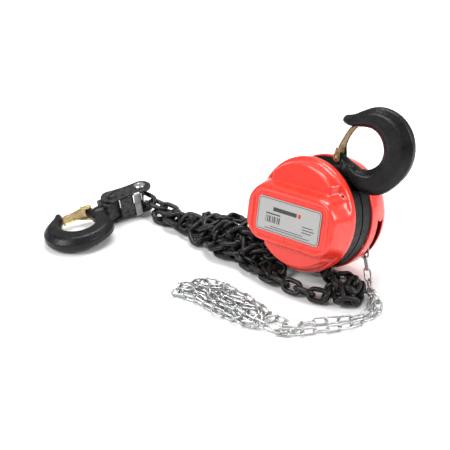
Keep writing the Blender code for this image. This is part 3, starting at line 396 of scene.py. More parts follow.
def prism(outline, low, high, axis="Y"):
    shape = bmesh.new()
    if axis == "Y":
        bridge(shape, [[(x, level, z) for x, z in outline] for level in (low, high)])
    else:
        bridge(shape, [[(x, y, level) for x, y in outline] for level in (low, high)])
    return shape


def lathe(profile, count, axis="Y", closed=False):
    """A (radius, along) profile turned round an axis."""
    shape = bmesh.new()
    rings = []
    for radius, along in profile:
        if axis == "Y":
            rings.append([(x, along, z) for x, z in circle(radius, count)])
        else:
            rings.append([(x, y, along) for x, y in circle(radius, count)])
    bridge(shape, rings, closed=closed)
    return shape


def box(low, high):
    outline = [(low[0], low[2]), (high[0], low[2]), (high[0], high[2]), (low[0], high[2])]
    return prism(outline, low[1], high[1])


def add_shape(target, other):
    """Puts the other bmesh's faces into the target and frees it."""
    mesh = bpy.data.meshes.new("joined")
    other.to_mesh(mesh)
    other.free()
    target.from_mesh(mesh)
    bpy.data.meshes.remove(mesh)


def smooth_step(value):
    t = min(max(value, 0.0), 1.0)
    return t * t * (3.0 - 2.0 * t)


def curve_through(points, steps):
    """Catmull-Rom values through rows of numbers, steps between each two."""
    rows = [np.array(row, float) for row in points]
    rows = [2 * rows[0] - rows[1]] + rows + [2 * rows[-1] - rows[-2]]
    result = []
    for i in range(1, len(rows) - 2):
        a, b, c, d = rows[i - 1:i + 3]
        for step in range(steps):
            t = step / steps
            result.append(0.5 * (2 * b + (c - a) * t + (2 * a - 5 * b + 4 * c - d) * t ** 2
                                 + (3 * b - a - 3 * c + d) * t ** 3))
    result.append(rows[-2])
    return result


def show(name, shape, place, body, slot, stands_for=(), sharp=35.0, bevel=0.0, material=None):
    """Makes a piece of a bmesh drawn in millimetres in the frame place, and rides it on its body."""
    bmesh.ops.recalc_face_normals(shape, faces=shape.faces)
    shape.transform(Matrix.Scale(MM, 4) @ place)
    mesh = bpy.data.meshes.new(name)
    shape.to_mesh(mesh)
    shape.free()
    mesh.shade_smooth()
    mesh.set_sharp_from_angle(angle=radians(sharp))
    piece = bpy.data.objects.new(name, mesh)
    bpy.context.scene.collection.objects.link(piece)
    mesh.materials.append(material or PAINT[slot])
    if bevel:
        rounding = piece.modifiers.new("rounding", "BEVEL")
        rounding.width = bevel * MM
        rounding.segments = 2
        rounding.limit_method = "ANGLE"
        rounding.angle_limit = radians(32.0)
        rounding.harden_normals = True
    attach(piece, body)
    if stands_for:
        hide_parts(*stands_for)


def modified(shape, settings):
    """The bmesh again after a list of (modifier type, {setting: value}), worked out on the spot."""
    mesh = bpy.data.meshes.new("worked")
    shape.to_mesh(mesh)
    shape.free()
    holder = bpy.data.objects.new("worked", mesh)
    bpy.context.scene.collection.objects.link(holder)
    for kind, values in settings:
        modifier = holder.modifiers.new(kind.lower(), kind)
        for key, value in values.items():
            setattr(modifier, key, value)
    bpy.context.view_layer.update()
    evaluated = holder.evaluated_get(bpy.context.evaluated_depsgraph_get())
    done = bpy.data.meshes.new_from_object(evaluated)
    result = bmesh.new()
    result.from_mesh(done)
    bpy.data.objects.remove(holder)
    bpy.data.meshes.remove(mesh)
    bpy.data.meshes.remove(done)
    return result


def cut(shape, tool):
    """The bmesh less the tool's volume."""
    bmesh.ops.recalc_face_normals(shape, faces=shape.faces)
    bmesh.ops.recalc_face_normals(tool, faces=tool.faces)
    bmesh.ops.triangulate(shape, faces=shape.faces)
    mesh = bpy.data.meshes.new("cutter")
    tool.to_mesh(mesh)
    tool.free()
    cutter = bpy.data.objects.new("cutter", mesh)
    bpy.context.scene.collection.objects.link(cutter)
    result = modified(shape, [("BOOLEAN", {"operation": "DIFFERENCE", "solver": "EXACT", "object": cutter})])
    bpy.data.objects.remove(cutter)
    bpy.data.meshes.remove(mesh)
    return result


# Chains.  A chain is a row of joints one pitch apart; each link spans two joints.

class Chain:
    def __init__(self, slot, wire, pitch, width, around, sides):
        self.slot = slot
        self.wire = wire
        self.pitch = pitch
        self.width = width
        self.around = around
        self.sides = sides

    def centre_line(self, count):
        """Points along a link's wire in its own plane: (along, across), and the outward direction."""
        bend = (self.width - self.wire) / 2
        straight = self.pitch + self.wire - 2 * bend
        half = pi * bend + straight
        rows = []
        for i in range(count):
            run = 2 * half * i / count
            sign = 1.0 if run < half else -1.0
            run = run if run < half else run - half
            if run < pi * bend:
                angle = run / bend - pi / 2
                row = (straight / 2 + bend * cos(angle), bend * sin(angle), cos(angle),
                       sin(angle))
            else:
                row = (straight / 2 - (run - pi * bend), bend, 0.0, 1.0)
            rows.append(tuple(sign * value for value in row))
        return rows

    def link(self):
        """One link's points and faces; its wire is a little thicker at the weld in one side."""
        points, faces = [], []
        for along, across, out_along, out_across in self.centre_line(self.around):
            weld = 0.09 * exp(-(along / (0.35 * self.wire)) ** 2) if across > 0 else 0.0
            radius = self.wire / 2 * (1.0 + weld)
            for side in range(self.sides):
                angle = tau * side / self.sides
                outward = radius * cos(angle)
                points.append((along + out_along * outward, across + out_across * outward,
                               radius * sin(angle)))
        for i in range(self.around):
            j = (i + 1) % self.around
            for side in range(self.sides):
                after = (side + 1) % self.sides
                faces.append((i * self.sides + side, j * self.sides + side,
                              j * self.sides + after, i * self.sides + after))
        return np.array(points), np.array(faces)


LOAD_CHAIN = Chain("black_chain", wire=6.0, pitch=18.0, width=20.0, around=30, sides=12)
HAND_CHAIN = Chain("zinc_chain", wire=2.8, pitch=15.0, width=11.0, around=26, sides=8)


def along_route(points, pitch):
    """Joints one pitch apart, in a straight line from each to the next, along a smooth curve."""
    dense = np.array(curve_through(points, 24))
    joints = [dense[0]]
    i = 0
    while i < len(dense):
        if np.linalg.norm(dense[i] - joints[-1]) >= pitch:
            way = dense[i] - joints[-1]
            joints.append(joints[-1] + way / np.linalg.norm(way) * pitch)
        else:
            i += 1
    return np.array(joints)


def even_out(place, fixed, pitch, first, last, sweeps):
    """Moves the joints until each is a pitch from the next; first and last index each link's two joints."""
    for sweep in range(sweeps):
        for half in (sweep % 2, 1 - sweep % 2):
            a, b = first[half::2], last[half::2]
            way = place[b] - place[a]
            far = np.maximum(np.linalg.norm(way, axis=1, keepdims=True), 1e-6)
            free_a, free_b = 1.0 - fixed[a], 1.0 - fixed[b]
            share = np.maximum(free_a + free_b, 1e-6)[:, None]
            move = way / far * (far - pitch) / share
            place[a] += move * free_a[:, None]
            place[b] -= move * free_b[:, None]


def settle(runs, pull, pitch, apart, keep_inside, obstacles=None, rounds=220):
    """Lets chains fall into a pile.

    runs are rows of joints, with both ends held; pull says how strongly each joint is drawn to where it
    started; joints keep apart from those more than three links away; keep_inside moves joints into the
    space that they have.
    """
    place = np.concatenate(runs)
    home = place.copy()
    weight = np.concatenate(pull)
    fixed = np.zeros(len(place))
    first, run_of = [], []
    start = 0
    for number, run in enumerate(runs):
        fixed[[start, start + len(run) - 1]] = 1.0
        first += list(range(start, start + len(run) - 1))
        run_of += [number] * len(run)
        start += len(run)
    first = np.array(first)
    last = first + 1
    run_of = np.array(run_of)
    order = np.concatenate([np.arange(len(place)), first + 0.5])
    owner = np.concatenate([run_of, run_of[first]])
    strangers = (abs(order[:, None] - order[None]) > 2.6) | (owner[:, None] != owner[None])
    second = first[:-1][np.isin(first[:-1] + 1, first)]
    for turn in range(rounds):
        loose = (1.0 - fixed)[:, None]
        place[:, 2] -= 0.8 * (1.0 - turn / rounds) * (1.0 - fixed) * (1.0 - weight)
        place += (home - place) * weight[:, None] * 0.3 * loose
        nodes = np.concatenate([place, (place[first] + place[last]) / 2])
        gap = nodes[:, None] - nodes[None]
        far = np.maximum(np.linalg.norm(gap, axis=2), 1e-3)
        push = np.where(strangers & (far < apart), (apart - far) / far, 0.0)
        moves = 0.3 * (gap * push[:, :, None]).sum(axis=1)
        np.add.at(moves, first, 0.5 * moves[len(place):])
        np.add.at(moves, last, 0.5 * moves[len(place):])
        place += moves[:len(place)] * loose
        if obstacles is not None:
            gap = place[:, None] - obstacles[None]
            far = np.maximum(np.linalg.norm(gap, axis=2), 1e-3)
            push = np.where(far < apart, (apart - far) / far, 0.0)
            place += 0.5 * (gap * push[:, :, None]).sum(axis=1) * loose
        way = place[second + 2] - place[second]
        far = np.maximum(np.linalg.norm(way, axis=1, keepdims=True), 1e-3)
        spread = np.where(far < 1.3 * pitch, (1.3 * pitch - far) / far / 2, 0.0) * way
        np.add.at(place, second + 2, spread * loose[second + 2])
        np.add.at(place, second, -spread * loose[second])
        inside = keep_inside(place)
        place = np.where(loose > 0, inside, place)
        even_out(place, fixed, pitch, first, last, 6)
    even_out(place, fixed, pitch, first, last, 120)
    result, start = [], 0
    for run in runs:
        result.append(place[start:start + len(run)])
        start += len(run)
    return result


def link_frames(joints, rolls, first_side):
    """Each link's middle and its three directions; rolls are degrees about the link's own length."""
    middles = (joints[1:] + joints[:-1]) / 2
    ways = joints[1:] - joints[:-1]
    ways /= np.linalg.norm(ways, axis=1, keepdims=True)
    side = np.array(first_side, float)
    axes = []
    for way, roll in zip(ways, rolls):
        level = np.array((-way[1], way[0], 0.0))
        flatness = float(level @ level)
        if flatness > 0.15:
            level /= sqrt(flatness)
            if level @ side < 0:
                level = -level
            side = side + 0.6 * (level - side)
        side = side - way * (side @ way)
        side /= np.linalg.norm(side)
        up = np.cross(way, side)
        angle = radians(roll)
        across = side * cos(angle) + up * sin(angle)
        axes.append(np.stack([way, across, np.cross(way, across)]))
    return middles, np.array(axes)


def clear_turns(chain, joints, rolls, first_side, others):
    """Turns each link up to 24 degrees, to where its wire is clearest of other strands."""
    rim = np.array([(row[0], row[1], 0.0) for row in chain.centre_line(14)])
    choices = (0.0, -12.0, 12.0, -24.0, 24.0)
    rolls = rolls.copy()
    count = len(rolls)
    middles, axes = link_frames(joints, rolls, first_side)
    wires = middles[:, None] + rim[None] @ axes
    for i in range(count):
        close = np.linalg.norm(middles - middles[i], axis=1) < 2 * chain.pitch
        pieces = [wires[j] for j in range(count) if close[j] and abs(i - j) > 1]
        if others is not None:
            close = np.linalg.norm(others - middles[i], axis=1) < 2 * chain.pitch
            pieces.append(others[close])
        pieces = [piece for piece in pieces if len(piece)]
        if not pieces:
            continue
        rest = np.concatenate(pieces)
        best = None
        for extra in choices:
            angle = radians(extra)
            way, across, normal = axes[i]
            turned = np.stack([way, across * cos(angle) + normal * sin(angle),
                               normal * cos(angle) - across * sin(angle)])
            wire = middles[i] + rim @ turned
            far = np.linalg.norm(wire[:, None] - rest[None], axis=2).min() - 0.02 * abs(extra)
            if best is None or far > best[0]:
                best = (far, extra, turned, wire)
        rolls[i] += best[1]
        axes[i] = best[2]
        wires[i] = best[3]
    return middles, axes, wires.reshape(-1, 3)


def chain_mesh(name, chain, middles, axes, stands_for):
    points, faces = chain.link()
    all_points = (middles[:, None] + points[None] @ axes).reshape(-1, 3) * MM
    all_faces = (faces[None] + (np.arange(len(middles)) * len(points))[:, None, None]).reshape(-1, 4)
    mesh = bpy.data.meshes.new(name)
    mesh.from_pydata(all_points.tolist(), [], all_faces.tolist())
    mesh.update()
    mesh.shade_smooth()
    mesh.materials.append(PAINT[chain.slot])
    piece = bpy.data.objects.new(name, mesh)
    bpy.context.scene.collection.objects.link(piece)
    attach(piece, "hoist_body")
    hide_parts(*stands_for)
    return piece


# The chains' routes and mounds: the same points as the CAD model's, before its origin shift.
LOAD_BUNDLE = ((-209.0, 127.0, 7.0, 17.0), (-198.0, 120.0, 14.0, 22.0), (-185.0, 108.0, 17.0, 25.0),
               (-165.0, 98.0, 20.0, 28.0), (-145.0, 82.0, 32.0, 33.0), (-125.0, 66.0, 42.0, 39.0),
               (-105.0, 52.0, 48.0, 44.0), (-88.0, 44.0, 48.0, 46.0), (-74.0, 26.0, 52.0, 40.0),
               (-60.0, 4.0, 46.0, 24.0), (-44.0, -12.0, 26.0, 15.0))
LOAD_STRAND = ((-40.0, -36.0, 10.6), (-24.0, -58.0, 10.6), (-12.0, -74.0, 10.6), (0.0, -86.0, 10.6))
LOAD_HEAP = ((12.0, -76.0, 20.0, 18.0), (20.0, -68.0, 32.0, 25.0), (32.0, -64.0, 36.0, 30.0),
             (44.0, -62.0, 30.0, 28.0), (52.0, -60.0, 14.0, 16.0))
HAND_DROP = ((61.0, -24.0, 28.0), (64.0, -32.0, 16.0), (65.0, -46.0, 6.8), (65.5, -70.0, 6.0),
             (62.0, -96.0, 6.0), (45.0, -113.0, 6.0), (23.0, -119.0, 6.0), (0.0, -122.0, 6.0),
             (-24.0, -126.0, 6.0), (-34.0, -127.0, 6.0))
HAND_STRAND = ((24.0, -133.0, 6.0), (10.0, -138.0, 6.0), (-7.0, -140.0, 6.0), (-24.0, -143.0, 6.0),
               (-34.0, -144.0, 6.0))
HAND_HEAP = ((-188.0, -60.0, 6.0, 8.0), (-170.0, -54.0, 16.0, 13.0), (-152.0, -54.0, 24.0, 15.0),
             (-133.0, -64.0, 32.0, 16.0), (-114.0, -76.0, 36.0, 16.0), (-96.0, -92.0, 36.0, 16.0),
             (-76.0, -108.0, 30.0, 15.0), (-58.0, -126.0, 22.0, 14.0), (-41.0, -134.0, 14.0, 12.0))

# Passes through each mound: from x, to x, place across it from -1 to 1, and height as a share of its own.
LOAD_PASSES = ((-56.0, -146.0, -0.80, 0.10), (-138.0, -62.0, -0.35, 0.10), (-66.0, -190.0, 0.10, 0.10),
               (-186.0, -70.0, 0.62, 0.10), (-74.0, -140.0, 0.90, 0.35), (-132.0, -68.0, 0.25, 0.60),
               (-70.0, -136.0, -0.45, 0.60), (-128.0, -66.0, 0.45, 0.80), (-70.0, -112.0, 0.60, 0.95),
               (-104.0, -62.0, 0.00, 0.95), (-66.0, -150.0, 0.30, 0.95), (-140.0, -70.0, -0.10, 1.00),
               (-72.0, -122.0, -0.25, 1.00), (-116.0, -70.0, 0.50, 1.00), (-72.0, -104.0, 0.10, 1.00),
               (-104.0, -84.0, 0.30, 1.00),
               (-84.0, -205.0, 0.20, 0.95))
SLACK_PASSES = ((-60.0, -118.0, 0.55, 0.60), (-110.0, -64.0, 0.85, 0.60))
HAND_PASSES = ((-44.0, -168.0, 0.90, 0.10), (-160.0, -60.0, 0.45, 0.10), (-66.0, -178.0, 0.05, 0.10),
               (-168.0, -56.0, -0.35, 0.10), (-62.0, -150.0, -0.85, 0.15), (-142.0, -60.0, -0.55, 0.90),
               (-70.0, -170.0, 0.15, 0.95), (-162.0, -80.0, 0.60, 0.90), (-88.0, -148.0, 0.25, 1.30),
               (-140.0, -46.0, -0.20, 1.20))


def mound_at(stations, x):
    """Centre, half width and height of a mound at x."""
    columns = np.array(sorted(stations))
    return [np.interp(x, columns[:, 0], columns[:, k]) for k in (1, 2, 3)]


def passes_through(stations, passes, margin, sway):
    """Route points to and fro along a mound, swaying from side to side."""
    points = []
    for number, (start, end, across, level) in enumerate(passes):
        count = max(3, round(abs(end - start) / 16.0) + 1)
        for i in range(count):
            x = start + (end - start) * i / (count - 1)
            centre, half, height = mound_at(stations, x)
            wave = sway * sin(1.7 * i + 2.3 * number)
            room = max(half - margin, 0.0)
            y = centre + max(-room, min(room, across * room + wave))
            z = margin + level * max(height - 2 * margin, 0.0) + 2.0 * sin(1.3 * i + number)
            points.append((x, y, z))
    return points


def mound_space(stations, margin):
    """A function that moves joints sideways and down into a mound, where they are within its length."""
    low, high = min(row[0] for row in stations), max(row[0] for row in stations)

    def keep(place, within):
        x = place[:, 0]
        centre, half, height = mound_at(stations, x)
        room = np.maximum(half - margin * 0.8, 1.0)
        across = np.clip((place[:, 1] - centre) / room, -1.0, 1.0)
        top = np.maximum(height * np.sqrt(np.maximum(1.0 - 0.75 * across ** 2, 0.1)) - margin * 0.7, margin)
        moved = place.copy()
        moved[:, 0] = np.clip(x, low + 2.0, high - 2.0)
        moved[:, 1] = centre + across * room
        moved[:, 2] = np.minimum(place[:, 2], top)
        return np.where(within[:, None], moved, place)

    return keep


def hoist_point(x, y, z):
    """A point of the hoist's own frame, before the origin shift."""
    return tuple(HOIST @ Vector((x, y, z)) - ORIGIN_SHIFT)


def spiral_heap():
    """Two turns of the load chain under the hoist's right side, from its fall to the strand."""
    points = []
    turns = 2.05
    steps = 17
    for step in range(steps + 1):
        share = step / steps
        angle = radians(118.0) - tau * turns * share
        radius = 19.0 + 2.5 * sin(5.0 * share)
        points.append((32.0 + radius * cos(angle), -64.0 + radius * sin(angle),
                       21.0 - 11.5 * share))
    return points


LOAD_MARGIN = 8.5
LOAD_APART = 15.5
LOAD_LOWEST = 10.0
HAND_MARGIN = 5.2
HAND_APART = 8.6
HAND_LOWEST = 5.6
LOOSE = 0.02
LEANT_ON = 0.10
HELD = 0.5
SHEAVE_RADIUS = 23.4
FALL_JOINTS = 3
WHEEL_RADIUS = 46.0


def sheave_joints():
    """Joints over the sheave and down both falls, one pitch apart, in the hoist's frame."""
    step = 2 * asin(LOAD_CHAIN.pitch / 2 / SHEAVE_RADIUS)
    arc_angles = [pi / 2 + step * k for k in (-2, -1, 0, 1, 2)]
    arc = [(SHEAVE_RADIUS * cos(angle), 0.0, SHEAVE_RADIUS * sin(angle)) for angle in arc_angles]
    right = [(arc[0][0], 0.0, arc[0][2] - LOAD_CHAIN.pitch * k) for k in range(FALL_JOINTS, 0, -1)]
    left = [(arc[-1][0], 0.0, arc[-1][2] - LOAD_CHAIN.pitch * k) for k in range(1, FALL_JOINTS + 1)]
    return [hoist_point(*point) for point in right + arc + left]


def wheel_joints():
    """Joints round the top of the hand wheel from the right side to the left, in the hoist's frame."""
    step = 2 * asin(HAND_CHAIN.pitch / 2 / WHEEL_RADIUS)
    count = 10
    first = pi / 2 - step * count / 2
    points = []
    for k in range(count + 1):
        angle = first + step * k
        x, z = WHEEL_RADIUS * cos(angle), WHEEL_RADIUS * sin(angle)
        points.append(hoist_point(x, WHEEL_PLANE, z))
    return points


def alternating(count, base, noise, seed):
    """Rolls of a row of links: each a right angle from the last, give or take."""
    random = np.random.default_rng(seed)
    return base + 90.0 * np.arange(count) + random.normal(0.0, 1.0, count) * noise


def to_row(joints):
    """Millimetres before the origin shift to the row frame's millimetres."""
    return np.array(joints) + np.array(ORIGIN_SHIFT)


def make_load_chain():
    over_sheave = np.array(sheave_joints())
    exit_right, exit_left = over_sheave[0], over_sheave[-1]
    down = [tuple(exit_right), (14.0, -40.0, 24.0)]
    rest = [tuple(exit_left), (-36.0, 0.0, 15.0)]
    main = down + spiral_heap() + list(reversed(LOAD_STRAND))
    main += passes_through(LOAD_BUNDLE, LOAD_PASSES, LOAD_MARGIN, 7.0)
    main += [(-214.0, 134.0, 22.0), tuple(CHAIN_PIN_AT)]
    anchor = hoist_point(-36.0, 0.0, -44.0)
    slack = rest + passes_through(LOAD_BUNDLE, SLACK_PASSES, LOAD_MARGIN, 6.0)
    slack += [(-40.0, 14.0, 22.0), anchor]
    runs = [along_route(route, LOAD_CHAIN.pitch) for route in (main, slack)]
    runs[0][-1] = CHAIN_PIN_AT
    runs[1][-1] = anchor
    bundle = mound_space(LOAD_BUNDLE, LOAD_MARGIN)
    heap = mound_space(LOAD_HEAP, LOAD_MARGIN)
    joined = np.concatenate(runs)
    in_bundle = (joined[:, 0] < -46.0) & (joined[:, 0] > -206.0)
    in_heap = (joined[:, 0] > 8.0) & (joined[:, 2] < 23.0)
    weight = np.where(in_bundle, LOOSE, np.where(in_heap, LEANT_ON, HELD))
    pull = [weight[:len(runs[0])], weight[len(runs[0]):]]

    def keep(place):
        place = bundle(place, in_bundle)
        place = heap(place, in_heap)
        place[:, 2] = np.maximum(place[:, 2], LOAD_LOWEST)
        return place

    settled = settle(runs, pull, LOAD_CHAIN.pitch, LOAD_APART, keep)
    return over_sheave, settled


def make_hand_chain(load_joints):
    round_wheel = np.array(wheel_joints())
    fall = [tuple(round_wheel[0]), hoist_point(49.0, WHEEL_PLANE - 1, -20.0)]
    under = [(45.0, -125.0, 6.0), (64.0, -109.0, 6.0), (72.0, -90.0, 6.0), (63.0, -72.0, 12.0),
             (56.0, -52.0, 6.5), (50.0, -30.0, 5.6), (30.0, -21.0, 5.6), (6.0, -18.0, 5.6),
             (-9.0, -2.0, 5.6), (-15.0, 20.0, 6.0), (-19.0, 40.0, 8.0),
             hoist_point(-56.0, WHEEL_PLANE, -51.0), hoist_point(-49.0, WHEEL_PLANE, -20.0),
             tuple(round_wheel[-1])]
    route = fall + list(HAND_DROP) + passes_through(HAND_HEAP, HAND_PASSES, HAND_MARGIN, 4.5)
    route += list(reversed(HAND_STRAND)) + under
    run = along_route(route, HAND_CHAIN.pitch)
    run[-1] = round_wheel[-1]
    in_heap = (run[:, 0] < -42.0) & (run[:, 1] < -20.0)
    weight = np.where(in_heap, LOOSE, HELD)
    heap = mound_space(HAND_HEAP, HAND_MARGIN)

    def keep(place):
        place = heap(place, in_heap)
        place[:, 2] = np.maximum(place[:, 2], HAND_LOWEST)
        return place

    return round_wheel, settle([run], [weight], HAND_CHAIN.pitch, HAND_APART, keep, load_joints)[0]


def make_chains():
    hoist_side = tuple(HOIST.to_3x3() @ Vector((0.0, 1.0, 0.0)))
    over_sheave, (main, slack) = make_load_chain()
    round_wheel, hand = make_hand_chain(np.concatenate([main, slack]))
    for name, chain, joints, seed, node in (
            ("load_chain_over_sheave", LOAD_CHAIN, over_sheave, 1, "load_chain_on_sheave"),
            ("hand_chain_round_wheel", HAND_CHAIN, round_wheel, 2, "hand_chain_on_wheel")):
        middles, axes = link_frames(to_row(joints), alternating(len(joints) - 1, 0.0, 0.0, seed), hoist_side)
        chain_mesh(name, chain, middles, axes, (node,))

    laid = None
    for name, chain, joints, base, noise, seed, stands_for in (
            ("load_chain", LOAD_CHAIN, main, 45.0, 9.0, 3,
             ("load_chain_bundle", "load_chain_strand", "load_chain_heap")),
            ("load_chain_slack_end", LOAD_CHAIN, slack, 45.0, 9.0, 4, ("load_chain_bundle",)),
            ("hand_chain", HAND_CHAIN, hand, 0.0, 10.0, 5,
             ("hand_chain_drop", "hand_chain_strand", "hand_chain_heap"))):
        row = to_row(joints)
        rolls = alternating(len(joints) - 1, base, noise, seed)
        middles, axes, wires = clear_turns(chain, row, rolls, hoist_side, laid)
        laid = wires if laid is None else np.concatenate([laid, wires])
        piece = chain_mesh(name, chain, middles, axes, stands_for)


# Covers

def rounded_box_distance(x, z, half_x, half_z, corner):
    dx = abs(x) - (half_x - corner)
    dz = abs(z) - (half_z - corner)
    return hypot(max(dx, 0.0), max(dz, 0.0)) + min(max(dx, dz), 0.0) - corner


def soft_max(first, second, blend):
    """The larger of two values, rounded where they cross."""
    reach = max(blend - abs(first - second), 0.0) / blend
    return max(first, second) + reach * reach * blend / 4


def cover_height(x, z):
    """How far the pressed cover stands ahead of the front side plate."""
    pad = rounded_box_distance(x, z - PAD_CENTRE_Z, 64.0, 33.0, 25.0)
    draft = 9.0 + 5.0 * smooth_step((z - 20.0) / 12.0)
    pad_height = PAD_HEIGHT * smooth_step(1.0 - pad / draft)
    lobe = max(hypot(x, z) - 62.0, abs(x) - 43.0)
    lobe_height = 23.0 * smooth_step(1.0 - lobe / 8.5)
    height = soft_max(soft_max(9.0, lobe_height, 2.5), pad_height, 7.0)
    ring = rounded_box_distance(x, z - PAD_CENTRE_Z, 53.5, 26.5, 11.0)
    groove = exp(-(ring / 1.5) ** 2)
    bead = exp(-((ring - 3.6) / 1.6) ** 2)
    well = smooth_step((-ring - 1.0) / 1.6)
    return height - 0.7 * groove + 0.35 * bead - 0.5 * well


def gear_cover():
    count = 260
    rim = FRONT_PLANE - 9.0
    rings = []
    for radius, y in ((BODY_RADIUS - 1.6, FRONT_PLANE - 0.3), (BODY_RADIUS - 0.1, FRONT_PLANE - 0.5),
                      (BODY_RADIUS, FRONT_PLANE - 1.6), (BODY_RADIUS - 0.2, rim + 3.2),
                      (BODY_RADIUS - 0.7, rim + 1.2)):
        rings.append([(x, y, z) for x, z in circle(radius, count)])
    radius = BODY_RADIUS - 1.6
    while radius > 1.0:
        rings.append([(x, FRONT_PLANE - cover_height(x, z), z) for x, z in circle(radius, count)])
        radius -= 0.85
    shape = bmesh.new()
    loops = bridge(shape, rings, caps=False)
    shape.faces.new(loops[-1])
    shape = modified(shape, [("SOLIDIFY", {"thickness": 1.6, "offset": -1.0})])
    show("gear_cover_shell", shape, HOIST, "hoist_body", "red_paint", ("gear_cover",), sharp=50.0)


def wheel_cover():
    seat = REAR_PLANE + 0.3
    back = REAR_PLANE + WHEEL_COVER_DEPTH
    outer = curve_through(((BODY_RADIUS, seat + 1.0), (BODY_RADIUS - 0.1, seat + 8.0),
                           (BODY_RADIUS - 0.5, seat + 14.0), (BODY_RADIUS - 3.0, back - 14.0),
                           (BODY_RADIUS - 7.0, back - 6.0), (BODY_RADIUS - 15.0, back - 1.2),
                           (BODY_RADIUS - 24.0, back)), 4)
    sheet = 1.8
    profile = [(BODY_RADIUS - 1.2, seat), (BODY_RADIUS - 0.3, seat + 0.2)] + [tuple(row) for row in outer]
    profile += [(30.0, back), (28.0, back - 0.8), (10.0, back - 0.8), (8.6, back - 0.3), (8.0, back - 1.0)]
    profile += [(8.0, back - 2.0), (28.0, back - 2.6), (40.0, back - 2.0)]
    profile += [(row[0] - sheet, min(row[1] - 0.6, back - sheet)) for row in reversed(outer[4:])]
    profile += [(BODY_RADIUS - 2.0, seat)]
    shape = lathe(profile, 160, closed=True)
    slots = bmesh.new()
    for side in (-1, 1):
        middle = Vector((side * 62.0, WHEEL_PLANE - 4.5, -15.0))
        lean = Vector((side * 7.0, 0.0, -26.0))
        half_width, ends = 6.8, 10
        outline = []
        for end in (1, -1):
            for step in range(ends + 1):
                angle = pi * step / ends - (pi / 2 if end > 0 else -pi / 2)
                outline.append((half_width * sin(angle), end * (25.0 + half_width * cos(angle))))
        rings = []
        for reach in (-22.0, 22.0):
            ring = []
            for across, along in outline:
                point = middle + Vector((side * reach, across, 0.0)) + lean * along / lean.length
                ring.append(tuple(point))
            rings.append(ring)
        bridge(slots, rings)
    shape = cut(shape, slots)
    show("wheel_cover_shell", shape, HOIST, "hoist_body", "red_paint", ("wheel_cover",), sharp=40.0)


def rounded_outline(half_x, half_z, corner, centre=(0.0, 0.0), steps=8):
    outline = []
    for quarter, (sx, sz) in enumerate(((1, 1), (-1, 1), (-1, -1), (1, -1))):
        for step in range(steps + 1):
            angle = radians(90.0 * quarter + 90.0 * step / steps)
            outline.append((centre[0] + sx * (half_x - corner) + corner * cos(angle),
                            centre[1] + sz * (half_z - corner) + corner * sin(angle)))
    return outline


def name_plate():
    """Silver plate with a thin dark border and plain bars where a real one has its print."""
    face = FRONT_PLANE - PAD_HEIGHT
    centre = (0.0, PAD_CENTRE_Z)
    plate = prism(rounded_outline(48.0, 21.0, 5.0, centre), face - 0.9, face + 0.2)
    show("name_plate_foil", plate, HOIST, "hoist_body", "label_metal", ("name_plate",),
         bevel=0.25)
    border = bmesh.new()
    outer, inner = rounded_outline(46.8, 19.8, 4.2, centre), rounded_outline(46.1, 19.1, 3.6, centre)
    rings = [[(x, y, z) for x, z in outline] for outline, y in
             ((outer, face - 0.85), (outer, face - 1.0), (inner, face - 1.0), (inner, face - 0.85))]
    bridge(border, rings, closed=True)
    show("name_plate_border", border, HOIST, "hoist_body", "label_metal", material=INK)
    bars = bmesh.new()
    near, far = face - 1.0, face - 0.85
    for left, right, low, high in (
            (-24.0, 12.0, 5.8, 10.6), (-34.0, -12.0, 1.0, 2.6), (22.0, 38.0, -3.0, -2.0),
            (22.0, 40.0, -6.4, -5.4), (22.0, 36.0, -9.8, -8.8), (-26.0, 24.0, -14.2, -13.4),
            (-34.0, 34.0, -16.8, -16.0)):
        add_shape(bars, box((left, near, PAD_CENTRE_Z + low), (right, far, PAD_CENTRE_Z + high)))
    for column in range(9):
        left = -34.0 + 2.5 * column
        width = 0.7 + 0.5 * (column * 7 % 3)
        add_shape(bars, box((left, near, PAD_CENTRE_Z - 9.0), (left + width, far, PAD_CENTRE_Z - 1.0)))
    show("name_plate_bars", bars, HOIST, "hoist_body", "label_metal", material=INK)
    accent = box((14.0, near, PAD_CENTRE_Z + 5.8), (18.0, far, PAD_CENTRE_Z + 10.6))
    show("name_plate_accent", accent, HOIST, "hoist_body", "label_metal", material=ACCENT)


def cover_fasteners():
    """Small socketed nuts over the stay bolts' front ends."""
    near = FRONT_PLANE - 9.4
    for number, angle in enumerate(STAY_ANGLES, start=1):
        x, z = on_circle(STAY_RADIUS, angle)
        place = HOIST @ at(x, 0.0, z)
        nut = lathe([(0.3, near - 0.6), (1.6, near - 0.6), (1.8, near - 2.2), (3.0, near - 2.0),
                     (3.3, near - 1.4), (3.4, near - 0.4), (4.2, near - 0.3), (4.3, near + 0.6),
                     (0.3, near + 0.6)], 28)
        show(f"cover_nut_{number}_dome", nut, place, "hoist_body", "forged_black",
             (f"cover_nut_{number}", f"stay_bolt_{number}"), sharp=30.0)
        bolt = lathe([(0.3, near), (3.0, near), (3.0, -13.7), (3.6, -13.7), (3.6, 13.7), (3.0, 13.7),
                      (3.0, REAR_PLANE + 20.0), (2.4, REAR_PLANE + 21.0), (0.3, REAR_PLANE + 21.0)], 24)
        show(f"stay_bolt_{number}_shank", bolt, place, "hoist_body", "forged_black", sharp=30.0)


# Hooks

